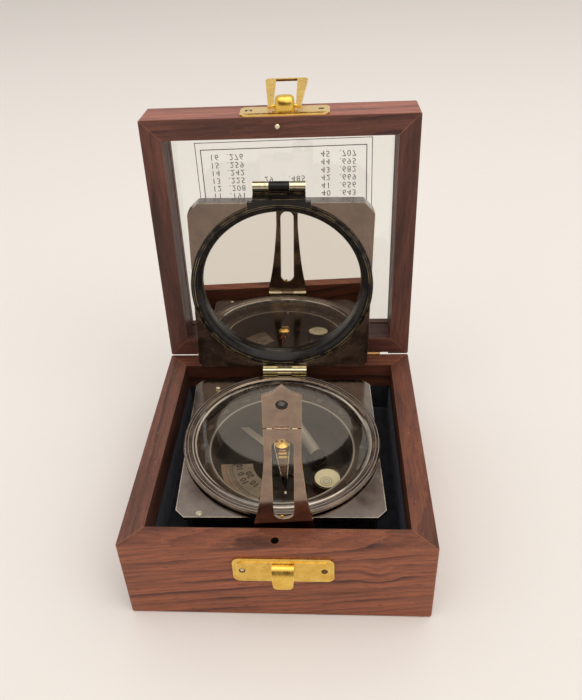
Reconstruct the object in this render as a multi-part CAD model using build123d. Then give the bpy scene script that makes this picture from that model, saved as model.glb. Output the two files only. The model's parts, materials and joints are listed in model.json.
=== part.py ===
from build123d import *
import math
import os

# A square hardwood box with a glazed lid, holding a brass pocket transit compass.
# Millimetres. The origin is the centre of the box's underside, X to the right,
# Y to the back, Z up. The box lid and the compass lid are modelled standing open.

# The compass's top plate sets the size of everything round it
plate_side = 73.5

# Box
wall = 8.0
well_room = 7.75
box_side = plate_side + 2 * (wall + well_room)
base_height = 35.6
lid_height = 17.4
corner_round = 0.8
foot_round = 0.7
rim_round = 0.4
floor_thickness = 4.5
floor_tongue = 3.0
past = 1.0
lid_open = 92.36
hinge_behind = 0.05
glass_seat = 12.2
glass_thickness = 2.0
glass_tongue = 2.5

# Velvet lining
liner_thickness = 0.7
liner_below_rim = 11.6
liner_top = base_height - liner_below_rim

# Closing dowel in the lid's front rim and its hole in the base
dowel_x = -0.2
dowel_from_face = 3.0
dowel_diameter = 1.9
dowel_reach = 3.0
dowel_chamfer = 0.3
dowel_root = 6.0
dowel_hole_diameter = 2.8
dowel_hole_depth = 5.0

# Butt hinges on the back
butt_edge = 12.1
butt_length = 20.0
butt_spacing = box_side - 2 * butt_edge - butt_length
butt_slot_extra = 3.5
butt_leaf_start = 0.95
butt_web = 1.2
butt_nail_x = 6.2
butt_nail_z = 5.4
butt_leaf_height = 9.0
butt_leaf_thickness = 0.8
butt_barrel_radius = 1.15
butt_pin_radius = 0.55
butt_knuckles = 3
nail_head_radius = 1.0
nail_head_height = 0.35
nail_shank = 0.8
nail_length = 5.0

# Latch
latch_x = 2.3
plate_length = 33.6
plate_height = 11.3
plate_corner = 2.4
plate_thickness = 0.6
field_rise = 0.25
field_inset = 1.5
plate_hole_radius = 1.15
plate_hole_spacing = 27.2
base_plate_z = base_height - 10.55
lid_plate_edge = 0.6
hook_width = 7.2
hook_tip_width = 6.2
hook_corner = 1.7
hook_window = 3.6
hook_window_low = 2.7
hook_root_z = base_height - 7.7
hook_tip_z = base_height - 15.4
hook_reach = 3.6
strap_thickness = 0.9
loop_axle_edge = 6.0
loop_axle_height = 2.2
loop_axle_radius = 0.85
loop_length = 22.3
loop_near_width = 12.7
loop_far_width = 16.9
loop_window = 8.4
loop_thickness = 0.9
loop_bar = 1.0
loop_heel = 1.2
loop_corner = 1.2
loop_axle_grip = 0.6
loop_lean = 78.0
clip_width = 6.9
clip_outer_radius = 2.9
clip_inner_radius = 1.95
clip_round = 0.8

# Compass body, in its own frame: origin in the middle of its top plate
compass_x = -0.45
compass_y = 0.5
compass_z = base_height - 3.3
compass_yaw = 2.07
compass_pitch = 1.65
compass_roll = 1.77
plate_clip = 3.2
top_plate_thickness = 1.5
plate_overhang = 1.75
case_side = plate_side - 2 * plate_overhang
case_corner = 7.0
case_height = 17.0
case_floor = 4.1
case_chamfer = 0.8
bowl_wall = 2.2
bowl_radius = case_side / 2 - bowl_wall
pad_gap = 0.15

# Raised flange round the glass
flange_overhang = 0.95
flange_radius = plate_side / 2 + flange_overhang
flange_height = 2.4
flange_undercut = 0.9
flange_bevel = 0.5
flange_neck_radius = flange_radius - 1.3
flange_groove_radius = flange_radius - 3.1
flange_flat = flange_radius - 1.6
hinge_room = 0.5
glass_radius = bowl_radius + 0.6
glass_level = 0.5
crystal_thickness = 1.0
bead_inner_radius = bowl_radius - 0.3
bead_shoulder = 0.2
bead_drop = 0.25
bead_steps = 5

# Dial, levels and needle
dial_width = 5.5
dial_inner_radius = bowl_radius - dial_width
dial_level = -3.5
dial_thickness = 1.2
dial_bevel = 0.3
skirt_thickness = 1.0
floor_plate_thickness = 0.8
pivot_radius = 0.7
pivot_point_radius = 0.15
pivot_point_height = 1.2
pivot_above_needle = 0.6
needle_angle = -86.2
needle_reach = dial_inner_radius - 4.7
needle_width = 6.2
needle_tip_width = 1.1
needle_thickness = 0.5
needle_point = 1.0
needle_level = -3.2
hub_radius = 2.85
hub_neck_radius = hub_radius - 1.0
hub_below_needle = 0.6
hub_top = -0.5
hub_step = 0.9
hub_crown = 1.5
fit_gap = 0.05
arm_shaft_radius = 2.2
arm_plate_thickness = 0.9
arm_plate_gap = 0.15
arm_boss_radius = 6.5
arm_spoke_width = 6.0
arm_shaft_below = 0.5
vial_angle = 115.0
vial_length = dial_inner_radius - 1.3
vial_radius = 2.5
vial_distance = dial_inner_radius - 12.9
vial_bearing = 48.7
vial_cap_length = 3.0
vial_cap_radius = 2.9
vernier_outer = dial_inner_radius - 1.7
vernier_inner = vernier_outer - 12.1
vernier_middle = 216.0
vernier_spread = 46.0
bull_radius = 5.5
bull_distance = dial_inner_radius - bull_radius - 0.7
bull_bearing = -35.3
bull_height = 5.0
bull_wall = 0.7
bull_liquid_drop = 0.3
lever_length = 17.0
lever_width = 5.0
lever_thickness = 1.4
lever_pocket_depth = 2.2
lever_pocket_room = 1.5
lever_hub_radius = 4.2
lever_gap = 0.2
lifter_x = 9.55 - plate_side / 2
lifter_y = plate_side / 2 - 6.15
lifter_radius = 0.9
lifter_reach = 1.4
lifter_travel = 0.8
lifter_length = 10.0
lifter_hole_spare = 0.2
lifter_chamfer = 0.3
plug_x = 8.35 - plate_side / 2
plug_y = 1.75 - plate_side / 2
plug_radius = 0.9
plug_rise = 0.25
plug_chamfer = 0.2

# Compass lid with its mirror, in its own frame: origin on its hinge axis,
# closed position, so the mirror looks down and the lid runs towards -Y
lid_axis_behind = 1.6
lid_axis_height = 3.9
lid_angle = 95.6
lid_gap = 1.0
tray_width = plate_side - 1.9
tray_length = plate_side - 0.1
tray_face = 1.7
tray_thickness = 6.8
tray_clip = 4.2
tray_corner = 3.0
tray_front_corner = 1.6
tray_back_round = 0.8
tray_hinge_room = 0.3
ring_radius = plate_side / 2 - 0.35
ring_middle = lid_gap + tray_length / 2 + 0.9
ring_step_radius = ring_radius - 0.8
ring_step = 0.8
mirror_radius = ring_radius - 3.0
mirror_level = 5.3
mirror_thickness = 1.6
retainer_outer = ring_radius - 1.6
retainer_inner = ring_radius - 4.4
retainer_depth = 3.4
retainer_face = 0.3
retainer_steps = 4
lid_knuckle_radius = 1.3
lid_hinge_length = 18.4
lid_pin_radius = 0.5
lid_hinge_leaf = 1.0
hinge_leaf_low = -9.0
hinge_web_low = -1.5
hinge_leaf_gap = 0.35
hinge_lip_gap = 0.3
hinge_lip = 0.55
hinge_link_low = 0.5
hinge_web_start = 0.7
lid_hinge_x = 0.8

# Sight at the free end of the compass lid
block_width = 24.2
block_length = 3.4
block_face = 0.1
block_stand_off = 1.0
bridge_thickness = 1.2
sight_room = 0.3
top_sight_x = -0.7
top_sight_width = 20.2
top_sight_reach = 4.6
top_sight_v = lid_gap + tray_length + top_sight_reach
top_sight_radius = 2.0
top_sight_leaf = 16.0
top_sight_thickness = 0.7
top_sight_clearance = 0.1
top_sight_w = tray_face + tray_thickness + top_sight_clearance + top_sight_thickness - top_sight_radius
top_sight_slot = 2.4
top_sight_slot_start = 5.5
top_sight_slot_end = 3.0
top_sight_pin = 0.7
top_centre_knuckle = 8.0

# Front sight arm, in its own frame: origin on its hinge axis, standing straight up
arm_x = 1.3
arm_ahead = 5.0
arm_height = 1.8
arm_lean = 3.1
arm_thickness = 1.0
strap_below = 1.2
arm_foot_low = -9.0
arm_web = 0.6
arm_room = 0.2
arm_sheet_ahead = 1.3
arm_fold = 49.6
arm_tip = 66.5
arm_shoulder = 62.5
arm_hole = 59.3
arm_hole_radius = 1.9
arm_slot_top = 44.9
arm_slot_bottom = 6.3
arm_slot_width = 6.8
arm_shank = 11.3
arm_base = 19.9
arm_drop = 1.1
arm_base_top = 4.0
arm_flare = 33.0
flare_low_step = 6.5
flare_low_in = 1.4
flare_high_step = 17.0
flare_high_out = 1.5
sheet_relief = 0.1
arm_barrel_radius = 1.3
arm_pin_radius = 0.6
tip_gap = 0.5
tip_barrel_radius = 0.55
tip_barrel_length = 4.5
tip_pin_radius = 0.25
tip_axis_offset = 0.53
tip_link = 1.0
tip_relief = 0.15
tip_shoulder_in = 0.42
tip_shoulder_drop = 0.4

box_half = box_side / 2
well_half = box_half - wall
case_bottom = -top_plate_thickness - case_height
bowl_floor = case_bottom + case_floor
lid_axis_y = plate_side / 2 + lid_axis_behind
arm_axis_y = -plate_side / 2 - arm_ahead

compass_place = Location((compass_x, compass_y, compass_z)) * Location((0, 0, 0), (0, 0, compass_yaw))
compass_place = compass_place * Location((0, 0, 0), (compass_pitch, 0, 0))
compass_place = compass_place * Location((0, 0, 0), (0, compass_roll, 0))
box_hinge = Location((0, box_half + hinge_behind, base_height))
lid_place = box_hinge * Location((0, 0, 0), (-lid_open, 0, 0)) * Location((0, -box_half - hinge_behind, 0))
mirror_place = compass_place * Location((0, lid_axis_y, lid_axis_height))
mirror_place = mirror_place * Location((0, 0, 0), (-lid_angle, 0, 0))
arm_place = compass_place * Location((arm_x, arm_axis_y, arm_height)) * Location((0, 0, 0), (arm_lean, 0, 0))


def slab(x0, x1, y0, y1, z0, z1):
    """A box between two corners."""
    middle = Location(((x0 + x1) / 2, (y0 + y1) / 2, (z0 + z1) / 2))
    return middle * Box(x1 - x0, y1 - y0, z1 - z0)


def disc(radius, z0, z1, x=0.0, y=0.0):
    """An upright cylinder between two heights."""
    return Location((x, y, (z0 + z1) / 2)) * Cylinder(radius, z1 - z0)


def rod(radius, x0, x1, y=0.0, z=0.0):
    """A cylinder along X between two places."""
    return Location(((x0 + x1) / 2, y, z), (0, 90, 0)) * Cylinder(radius, x1 - x0)


def prism(points, height, z=0.0):
    """An upright prism over an outline."""
    return Location((0, 0, z)) * extrude(make_face(Polyline(*points, close=True)), height)


def turned(points):
    """A body turned about Z from a profile of radius and height."""
    return revolve(Plane.XZ * make_face(Polyline(*points, close=True)), Axis.Z)


def rounded_plate(length, height, thickness, radius):
    return extrude(RectangleRounded(length, height, radius), thickness)


# Wooden frames

def frame_side(height):
    """One mitred side of a square frame, on the front, before any groove."""
    a = box_half
    b = well_half
    return prism([(-a, -a), (a, -a), (b, -b), (-b, -b)], height)


def turn_side(shape, quarter):
    return Location((0, 0, 0), (0, 0, 90 * quarter)) * shape


def rounded_block(height, low_round, high_round):
    """The solid block the frame's outside is cut from, with its softened edges."""
    block = slab(-box_half, box_half, -box_half, box_half, 0, height)
    block = fillet(block.edges().filter_by(Axis.Z), corner_round)
    block = fillet(block.edges().group_by(Axis.Z)[0], low_round)
    return fillet(block.edges().group_by(Axis.Z)[-1], high_round)


def dowel_place(z):
    return Location((dowel_x, -box_half + dowel_from_face, z))


def base_walls():
    """Front, right, back and left wall of the base with the groove for its floor."""
    outside = rounded_block(base_height, foot_round, rim_round)
    tongue = well_half + floor_tongue
    rebate = slab(-tongue, tongue, -tongue, tongue, 0, floor_thickness)
    shapes = []
    for quarter in range(4):
        side = turn_side(frame_side(base_height), quarter) & outside
        shapes.append(side - rebate)
    hole = dowel_place(base_height - dowel_hole_depth / 2) * Cylinder(
        dowel_hole_diameter / 2, dowel_hole_depth
    )
    shapes[0] = shapes[0] - hole
    return shapes


def base_floor():
    tongue = well_half + floor_tongue
    return slab(-tongue, tongue, -tongue, tongue, 0, floor_thickness)


def lid_frame():
    """Front, right, back and left rail of the closed lid, its contact face at z = 0."""
    outside = rounded_block(lid_height, rim_round, foot_round)
    tongue = well_half + glass_tongue
    groove = slab(-tongue, tongue, -tongue, tongue, glass_seat, glass_seat + glass_thickness)
    shapes = []
    for quarter in range(4):
        side = turn_side(frame_side(lid_height), quarter) & outside
        shapes.append(side - groove)
    seat = dowel_place(dowel_root / 2) * Cylinder(dowel_diameter / 2, dowel_root)
    shapes[0] = shapes[0] - seat
    return shapes


def lid_pane():
    tongue = well_half + glass_tongue
    return slab(-tongue, tongue, -tongue, tongue, glass_seat, glass_seat + glass_thickness)


def closing_dowel():
    body = Cylinder(dowel_diameter / 2, dowel_root + dowel_reach)
    body = chamfer(body.edges().group_by(Axis.Z)[0], dowel_chamfer)
    return dowel_place((dowel_root - dowel_reach) / 2) * body


# Lining

def pad_top_cutter():
    """Everything above the sloping top of the pad the compass lies on."""
    reach = box_side
    block = slab(-reach, reach, -reach, reach, case_bottom - pad_gap, reach)
    return compass_place * block


def floor_pad():
    side = well_half
    pad = slab(-side, side, -side, side, floor_thickness, base_height)
    return pad - pad_top_cutter()


def wall_liner():
    """Four thin velvet strips on the walls, standing on the floor and cut by the pad."""
    below = slab(-box_side, box_side, -box_side, box_side, 0, base_height) - pad_top_cutter()
    a = well_half
    b = well_half - liner_thickness
    strip = prism([(-a, -a), (a, -a), (b, -b), (-b, -b)], liner_top - floor_thickness, floor_thickness)
    return [turn_side(strip, quarter) - below for quarter in range(4)]


# Butt hinges, modelled with the lid closed and z = 0 at the base's rim

def butt_knuckle_span(index):
    step = butt_length / butt_knuckles
    return -butt_length / 2 + step * index, -butt_length / 2 + step * (index + 1)


def butt_leaf(side):
    """One leaf: side -1 goes down the base, side 1 goes up the lid."""
    y0 = box_half
    axis_y = box_half + hinge_behind
    half = butt_length / 2
    low = min(side * butt_leaf_start, side * butt_leaf_height)
    high = max(side * butt_leaf_start, side * butt_leaf_height)
    leaf = slab(-half, half, y0, y0 + butt_leaf_thickness, low, high)
    mine = 0 if side < 0 else 1
    for index in range(butt_knuckles):
        x0, x1 = butt_knuckle_span(index)
        if index % 2 == mine:
            low = min(0, side * butt_web)
            high = max(0, side * butt_web)
            web = slab(x0, x1, y0, y0 + butt_leaf_thickness, low, high)
            leaf = leaf + rod(butt_barrel_radius, x0, x1, axis_y) + web
        else:
            leaf = leaf - rod(butt_barrel_radius + 2 * fit_gap, x0 - fit_gap, x1 + fit_gap, axis_y)
    for index in range(butt_knuckles):
        x0, x1 = butt_knuckle_span(index)
        if index % 2 != mine:
            leaf = leaf - rod(butt_barrel_radius + 2 * fit_gap, x0, x1, axis_y)
    leaf = leaf - rod(butt_pin_radius + fit_gap, -half - past, half + past, axis_y)
    for x in (-butt_nail_x, butt_nail_x):
        hole = Location((x, y0, side * butt_nail_z), (90, 0, 0))
        side_of_hole = nail_shank + 2 * fit_gap
        leaf = leaf - hole * Box(side_of_hole, side_of_hole, 4 * butt_leaf_thickness)
    return leaf


def barrel_slots():
    """The slots routed in the two back edges for the barrels, a little too long."""
    axis_y = box_half + hinge_behind
    half = butt_length / 2
    radius = butt_barrel_radius + 2 * fit_gap
    return [
        rod(radius, x - half - fit_gap, x + half + butt_slot_extra, axis_y)
        for x in (-butt_spacing / 2, butt_spacing / 2)
    ]


def butt_pin():
    half = butt_length / 2
    axis_y = box_half + hinge_behind
    return rod(butt_pin_radius, -half, half, axis_y)


def back_nail(x, z):
    """A small cut nail with a round head, driven into the back through a leaf."""
    face = box_half + butt_leaf_thickness
    place = Location((x, face, z), (90, 0, 0))
    head = place * Location((0, 0, -nail_head_height / 2)) * Cylinder(nail_head_radius, nail_head_height)
    shank = place * Location((0, 0, nail_length / 2)) * Box(nail_shank, nail_shank, nail_length)
    return head + shank


def butt_nails(side):
    shapes = []
    for centre in (-butt_spacing / 2, butt_spacing / 2):
        for x in (-butt_nail_x, butt_nail_x):
            shapes.append(back_nail(centre + x, side * butt_nail_z))
    return shapes


def pair(shape):
    """The same hinge piece at both hinge places."""
    return [Location((x, 0, 0)) * shape for x in (-butt_spacing / 2, butt_spacing / 2)]


# Latch, drawn facing +Z with y up, then stood on the front face

def latch_plate():
    plate = rounded_plate(plate_length, plate_height, plate_thickness, plate_corner)
    field = rounded_plate(
        plate_length - 2 * field_inset,
        plate_height - 2 * field_inset,
        plate_thickness + field_rise,
        plate_corner - field_inset / 2,
    )
    plate = plate + field
    for x in (-plate_hole_spacing / 2, plate_hole_spacing / 2):
        plate = plate - disc(plate_hole_radius, -past, plate_thickness + field_rise + past, x)
    return plate


def face_place(z):
    """Puts a piece drawn facing +Z on the box's front face at height z."""
    return Location((latch_x, -box_half, z), (90, 0, 0))


def base_catch():
    """The base's plate with its pressed hook, which opens downwards."""
    face = plate_thickness + field_rise
    drop = hook_root_z - hook_tip_z
    root = hook_tip_z - base_plate_z
    outer = Ellipse(drop, hook_reach)
    inner = Ellipse(drop - strap_thickness, hook_reach - strap_thickness)
    section = (outer - inner) & (Location((drop, hook_reach)) * Rectangle(2 * drop, 2 * hook_reach))
    h = hook_width / 2
    hook = Plane((0, root, face), x_dir=(0, 1, 0), z_dir=(1, 0, 0)) * extrude(section, h, both=True)
    t = hook_tip_width / 2
    outline = make_face(
        Polyline(
            (-h, root + drop + past), (h, root + drop + past), (h, root + drop / 2),
            (t, root), (-t, root), (-h, root + drop / 2), close=True,
        )
    )
    outline = fillet(outline.vertices().sort_by(Axis.Y)[:2], hook_corner)
    hook = hook & extrude(outline, face + hook_reach + past)
    w = hook_window / 2
    window = slab(-w, w, root + hook_window_low, root + drop - strap_thickness, -past, face + past)
    return (latch_plate() - window) + hook


def lid_clip():
    """The lid's plate with the strap that is rolled over the loop's axle."""
    middle = lid_plate_edge + plate_height / 2
    axle_y = loop_axle_edge - middle
    roll = rod(clip_outer_radius, -clip_width / 2, clip_width / 2, axle_y, clip_outer_radius)
    roll = fillet(roll.edges().filter_by(GeomType.CIRCLE), clip_round)
    root = slab(-clip_width / 2, clip_width / 2, axle_y, axle_y + clip_outer_radius, 0, clip_outer_radius)
    inside = rod(clip_inner_radius, -clip_width, clip_width, axle_y, clip_outer_radius)
    throat = slab(
        -clip_width, clip_width, axle_y - clip_inner_radius, axle_y + clip_inner_radius,
        plate_thickness + field_rise, clip_outer_radius,
    )
    return (latch_plate() + roll + root) - inside - throat


def latch_loop():
    """Trapezoid loop standing on its axle, drawn along +Y from the axle."""
    near = loop_near_width / 2
    far = loop_far_width / 2
    inner = loop_window / 2
    end = loop_length + loop_bar / 2
    outline = make_face(
        Polyline(
            (-near, -loop_heel), (near, -loop_heel), (near, loop_heel),
            (far, end - loop_corner), (far - loop_corner, end),
            (-far + loop_corner, end), (-far, end - loop_corner),
            (-near, loop_heel), close=True,
        )
    )
    window = Location((0, (loop_length - loop_bar / 2 - loop_heel) / 2)) * Rectangle(
        2 * inner, loop_length - loop_bar / 2 + loop_heel
    )
    sheet = extrude(outline - window, loop_thickness / 2, both=True)
    open_end = slab(-inner, inner, -2 * loop_heel, 0, -loop_thickness, loop_thickness)
    return (sheet - open_end) + rod(loop_axle_radius, -inner - loop_axle_grip, inner + loop_axle_grip)


def latch_nails():
    shapes = []
    for x in (-plate_hole_spacing / 2, plate_hole_spacing / 2):
        head = disc(plate_hole_radius - fit_gap, 0, plate_thickness, x)
        shank = Location((x, 0, -nail_length / 2)) * Box(nail_shank, nail_shank, nail_length)
        shapes.append(head + shank)
    return shapes


# Compass body

def clipped_square(side, clip):
    h = side / 2
    c = h - clip
    return [(-c, -h), (c, -h), (h, -c), (h, c), (c, h), (-c, h), (-h, c), (-h, -c)]


def compass_case():
    """Cast lower case with the bowl, the lever pocket and the pin's guide."""
    body = Location((0, 0, case_bottom)) * extrude(
        RectangleRounded(case_side, case_side, case_corner), case_height
    )
    body = chamfer(body.edges().group_by(Axis.Z)[0], case_chamfer)
    body = body - disc(bowl_radius, bowl_floor, past)
    pocket = disc(lever_length + lever_pocket_room, case_bottom, case_bottom + lever_pocket_depth)
    body = body - pocket
    body = body - disc(arm_shaft_radius + fit_gap, case_bottom - past, bowl_floor + past)
    guide_low = -lifter_length - lifter_travel - lifter_hole_spare
    return body - disc(lifter_radius + fit_gap, guide_low, past, lifter_x, lifter_y)


def top_plate():
    plate = prism(clipped_square(plate_side, plate_clip), top_plate_thickness, -top_plate_thickness)
    low = -top_plate_thickness - past
    plate = plate - disc(bowl_radius, low, past)
    plate = plate - disc(lifter_radius + fit_gap, low, past, lifter_x, lifter_y)
    return plate - disc(plug_radius, low, past, plug_x, plug_y)


def flange_ring():
    """Turned ring that holds the glass, with its undercut and grooved face."""
    h = flange_height
    glass_top = glass_level + crystal_thickness
    e = knuckle_ends()
    hinge_flat = slab(e[0] - hinge_room, e[3] + hinge_room, flange_flat, flange_radius + past, -past, h + past)
    ring = turned([
        (bowl_radius, 0), (flange_neck_radius, 0), (flange_neck_radius, flange_undercut),
        (flange_radius, flange_undercut), (flange_radius, h - flange_bevel), (flange_radius - flange_bevel, h),
        (flange_groove_radius + flange_bevel, h), (flange_groove_radius, h - flange_bevel),
        (flange_groove_radius, glass_top), (glass_radius, glass_top), (glass_radius, glass_level),
        (bowl_radius, glass_level),
    ])
    return ring - hinge_flat


def crystal():
    return disc(glass_radius - fit_gap, glass_level, glass_level + crystal_thickness)


def glass_bead():
    """Rolled ring that keeps the glass down."""
    low = glass_level + crystal_thickness
    high = flange_height - bead_drop
    outer = flange_groove_radius - fit_gap
    middle = (bead_inner_radius + outer) / 2
    shoulder = low + bead_shoulder
    profile = [(bead_inner_radius, low), (outer, low)]
    for k in range(bead_steps + 1):
        a = math.pi * k / bead_steps
        profile.append((middle + (outer - middle) * math.cos(a), shoulder + (high - shoulder) * math.sin(a)))
    return turned(profile)


def dial_ring():
    low = bowl_floor + floor_plate_thickness
    top = dial_level
    return turned([
        (dial_inner_radius, low), (dial_inner_radius + skirt_thickness, low),
        (dial_inner_radius + skirt_thickness, top - dial_thickness),
        (bowl_radius - fit_gap, top - dial_thickness),
        (bowl_radius - fit_gap, top), (dial_inner_radius + dial_bevel, top),
        (dial_inner_radius, top - dial_bevel),
    ])


def dial_floor():
    plate = disc(bowl_radius - fit_gap, bowl_floor, bowl_floor + floor_plate_thickness)
    return plate - disc(arm_shaft_radius + fit_gap, bowl_floor - past, 0)


def arm_plate_level():
    return bowl_floor + floor_plate_thickness + arm_plate_gap


def sector_wedge():
    """Everything between the vernier sector's two straight sides."""
    a = math.radians(vernier_middle - vernier_spread / 2)
    b = math.radians(vernier_middle + vernier_spread / 2)
    far = 2 * vernier_outer
    corners = [(0, 0), (far * math.cos(a), far * math.sin(a)), (far * math.cos(b), far * math.sin(b))]
    return prism(corners, -case_bottom, case_bottom)


def turned_spoke(bearing, reach):
    """One straight spoke of the clinometer arm."""
    low = arm_plate_level()
    half = arm_spoke_width / 2
    bar = slab(0, reach, -half, half, low, low + arm_plate_thickness)
    return Location((0, 0, 0), (0, 0, bearing)) * bar


def clinometer_arm():
    """Turning plate that carries the tube level, the round level and the vernier."""
    low = arm_plate_level()
    high = low + arm_plate_thickness
    shaft_low = case_bottom + lever_thickness + arm_shaft_below
    body = disc(arm_boss_radius, low, high) + disc(arm_shaft_radius, shaft_low, high)
    sector = disc(vernier_outer, low, high) - disc(vernier_inner, low - past, high + past)
    body = body + turned_spoke(vernier_middle, vernier_inner + past) + (sector & sector_wedge())
    body = body + turned_spoke(bull_bearing, bull_distance) + turned_spoke(vial_bearing, vial_distance)
    half = arm_spoke_width / 2
    tray = vial_middle(0) * slab(-vial_length / 2, vial_length / 2, -half, half, low, high)
    return body + tray


def vial_middle(level):
    turned_out = Location((0, 0, level), (0, 0, vial_bearing)) * Location((vial_distance, 0, 0))
    return turned_out * Location((0, 0, 0), (0, 0, vial_angle - vial_bearing))


def vial_place():
    return vial_middle(arm_plate_level() + arm_plate_thickness + vial_cap_radius)


def bull_disc(radius, z0, z1):
    bearing = math.radians(bull_bearing)
    return disc(radius, z0, z1, bull_distance * math.cos(bearing), bull_distance * math.sin(bearing))


def tube_level():
    half = vial_length / 2 - vial_cap_length
    return vial_place() * rod(vial_radius, -half, half)


def vial_caps():
    shapes = []
    for side in (-1, 1):
        x0 = side * (vial_length / 2 - vial_cap_length)
        x1 = side * vial_length / 2
        cap = rod(vial_cap_radius, min(x0, x1), max(x0, x1))
        shapes.append(vial_place() * cap)
    return shapes


def bull_low():
    return arm_plate_level() + arm_plate_thickness


def bull_cup():
    low = bull_low()
    cup = bull_disc(bull_radius, low, low + bull_height)
    return cup - bull_disc(bull_radius - bull_wall, low + bull_wall, low + bull_height + past)


def bull_vial():
    low = bull_low() + bull_wall
    return bull_disc(bull_radius - bull_wall, low, bull_low() + bull_height - bull_liquid_drop)


def pivot_post():
    """Steel point the needle balances on, standing in the middle of the arm."""
    top = needle_level + needle_thickness + pivot_above_needle
    low = arm_plate_level() + arm_plate_thickness
    point = Cone(pivot_radius, pivot_point_radius, pivot_point_height)
    shaft = disc(pivot_radius, low, top - pivot_point_height)
    return shaft + Location((0, 0, top - pivot_point_height / 2)) * point


def needle_blades():
    """Two-ended flat needle, widest at its hub."""
    r = needle_reach
    w = needle_width / 2
    t = needle_tip_width / 2
    s = r - needle_point
    points = [(0, w), (s, t), (r, 0), (s, -t), (0, -w), (-s, -t), (-r, 0), (-s, t)]
    blade = prism(points, needle_thickness, needle_level)
    blade = blade - disc(hub_neck_radius, needle_level - past, needle_level + needle_thickness + past)
    return Location((0, 0, 0), (0, 0, needle_angle)) * blade


def needle_hub():
    """Turned brass hub with a hollow cap that sits over the pivot."""
    low = needle_level - hub_below_needle
    blade_top = needle_level + needle_thickness
    top = hub_top
    hub = turned([
        (0, low), (hub_neck_radius, low), (hub_neck_radius, blade_top), (hub_radius, blade_top),
        (hub_radius, top - hub_step), (hub_radius - hub_step, top - hub_step / 2),
        (hub_radius - hub_crown, top), (0, top),
    ])
    cup_top = blade_top + pivot_above_needle + fit_gap
    return hub - disc(pivot_radius + 2 * fit_gap, low - past, cup_top)


def lifter_pin():
    """Pin that lifts the needle off its point when the lid is pressed on it."""
    pin = disc(lifter_radius, -lifter_length, lifter_reach, lifter_x, lifter_y)
    return chamfer(pin.edges().group_by(Axis.Z)[-1], lifter_chamfer)


def corner_plug():
    plug = disc(plug_radius - fit_gap, -top_plate_thickness, plug_rise, plug_x, plug_y)
    return chamfer(plug.edges().group_by(Axis.Z)[-1], plug_chamfer)


def lever():
    """Lever under the case that turns the clinometer arm."""
    low = case_bottom + lever_gap
    high = low + lever_thickness
    half = lever_width / 2
    bar = slab(-half, half, 0, lever_length - half, low, high)
    bar = bar + disc(half, low, high, 0, lever_length - half) + disc(lever_hub_radius, low, high)
    return bar + disc(arm_shaft_radius, low, case_bottom + lever_thickness + arm_shaft_below)


# Hinge between compass body and compass lid

def knuckle_ends():
    third = lid_hinge_length / 3
    return [lid_hinge_x - lid_hinge_length / 2 + third * k for k in range(4)]


def body_hinge_leaf():
    """Fixed leaf with the middle knuckle, screwed to the back of the body."""
    e = knuckle_ends()
    y = lid_axis_y
    z = lid_axis_height
    r = lid_knuckle_radius
    back = plate_side / 2
    knuckle = rod(r, e[1] + fit_gap, e[2] - fit_gap, y, z)
    web = slab(e[1] + fit_gap, e[2] - fit_gap, back, back + lid_hinge_leaf, hinge_web_low, z)
    leaf = slab(e[0], e[3], back, back + lid_hinge_leaf, hinge_leaf_low, z - r - hinge_leaf_gap)
    foot = slab(e[0], e[3], case_side / 2, back, hinge_leaf_low, -top_plate_thickness)
    body = knuckle + web + leaf + foot
    return body - rod(lid_pin_radius + fit_gap, e[0] - past, e[3] + past, y, z)


def body_hinge_pin():
    e = knuckle_ends()
    return rod(lid_pin_radius, e[0], e[3], lid_axis_y, lid_axis_height)


def lid_hinge_knuckles():
    """Outer knuckles and leaf of the compass lid, in the lid's own frame."""
    e = knuckle_ends()
    r = lid_knuckle_radius
    lip = -r - hinge_lip_gap
    body = slab(e[0], e[3], lip - hinge_lip, lip, hinge_link_low, tray_face)
    for x0, x1 in ((e[0], e[1] - fit_gap), (e[2] + fit_gap, e[3])):
        body = body + rod(r, x0, x1) + slab(x0, x1, -lid_gap, 0, hinge_web_start, r)
        body = body + slab(x0, x1, lip, 0, hinge_link_low, tray_face)
    return body - rod(lid_pin_radius + fit_gap, e[0] - past, e[3] + past)


# Compass lid pieces, in the lid's own frame: y = -v, z = -w

def lid_disc(radius, w0, w1):
    return disc(radius, w0, w1, 0, -ring_middle)


def mirror_tray():
    h = tray_width / 2
    near = -lid_gap
    far = -lid_gap - tray_length
    c = tray_clip
    outline = [
        (-h, near), (h, near), (h, far + c), (h - c, far), (-h + c, far), (-h, far + c),
    ]
    body = prism(outline, tray_thickness, tray_face)
    body = fillet(body.edges().filter_by(Axis.Z).sort_by(Axis.Y)[-2:], tray_corner)
    body = fillet(body.edges().filter_by(Axis.Z).sort_by(Axis.Y)[:4], tray_front_corner)
    body = fillet(body.edges().group_by(Axis.Z)[-1], tray_back_round)
    return body - lid_disc(mirror_radius, tray_face - past, mirror_level + mirror_thickness)


def notch_for_block():
    x0 = top_sight_x - block_width / 2
    return slab(x0, x0 + block_width, -2 * tray_length, block_inner(), -past, tray_face)


def block_inner():
    return -lid_gap - tray_length - block_stand_off + block_length


def lid_ring():
    rim = lid_disc(ring_radius, ring_step, tray_face) - notch_for_block()
    ring = lid_disc(ring_step_radius, 0, tray_face) + rim
    ring = ring - lid_disc(retainer_outer, -past, tray_face + past)
    e = knuckle_ends()
    near = -lid_knuckle_radius - hinge_lip_gap - hinge_lip - fit_gap
    return ring - slab(e[0] - tray_hinge_room, e[3] + tray_hinge_room, near, 0, -past, tray_face)


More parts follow.
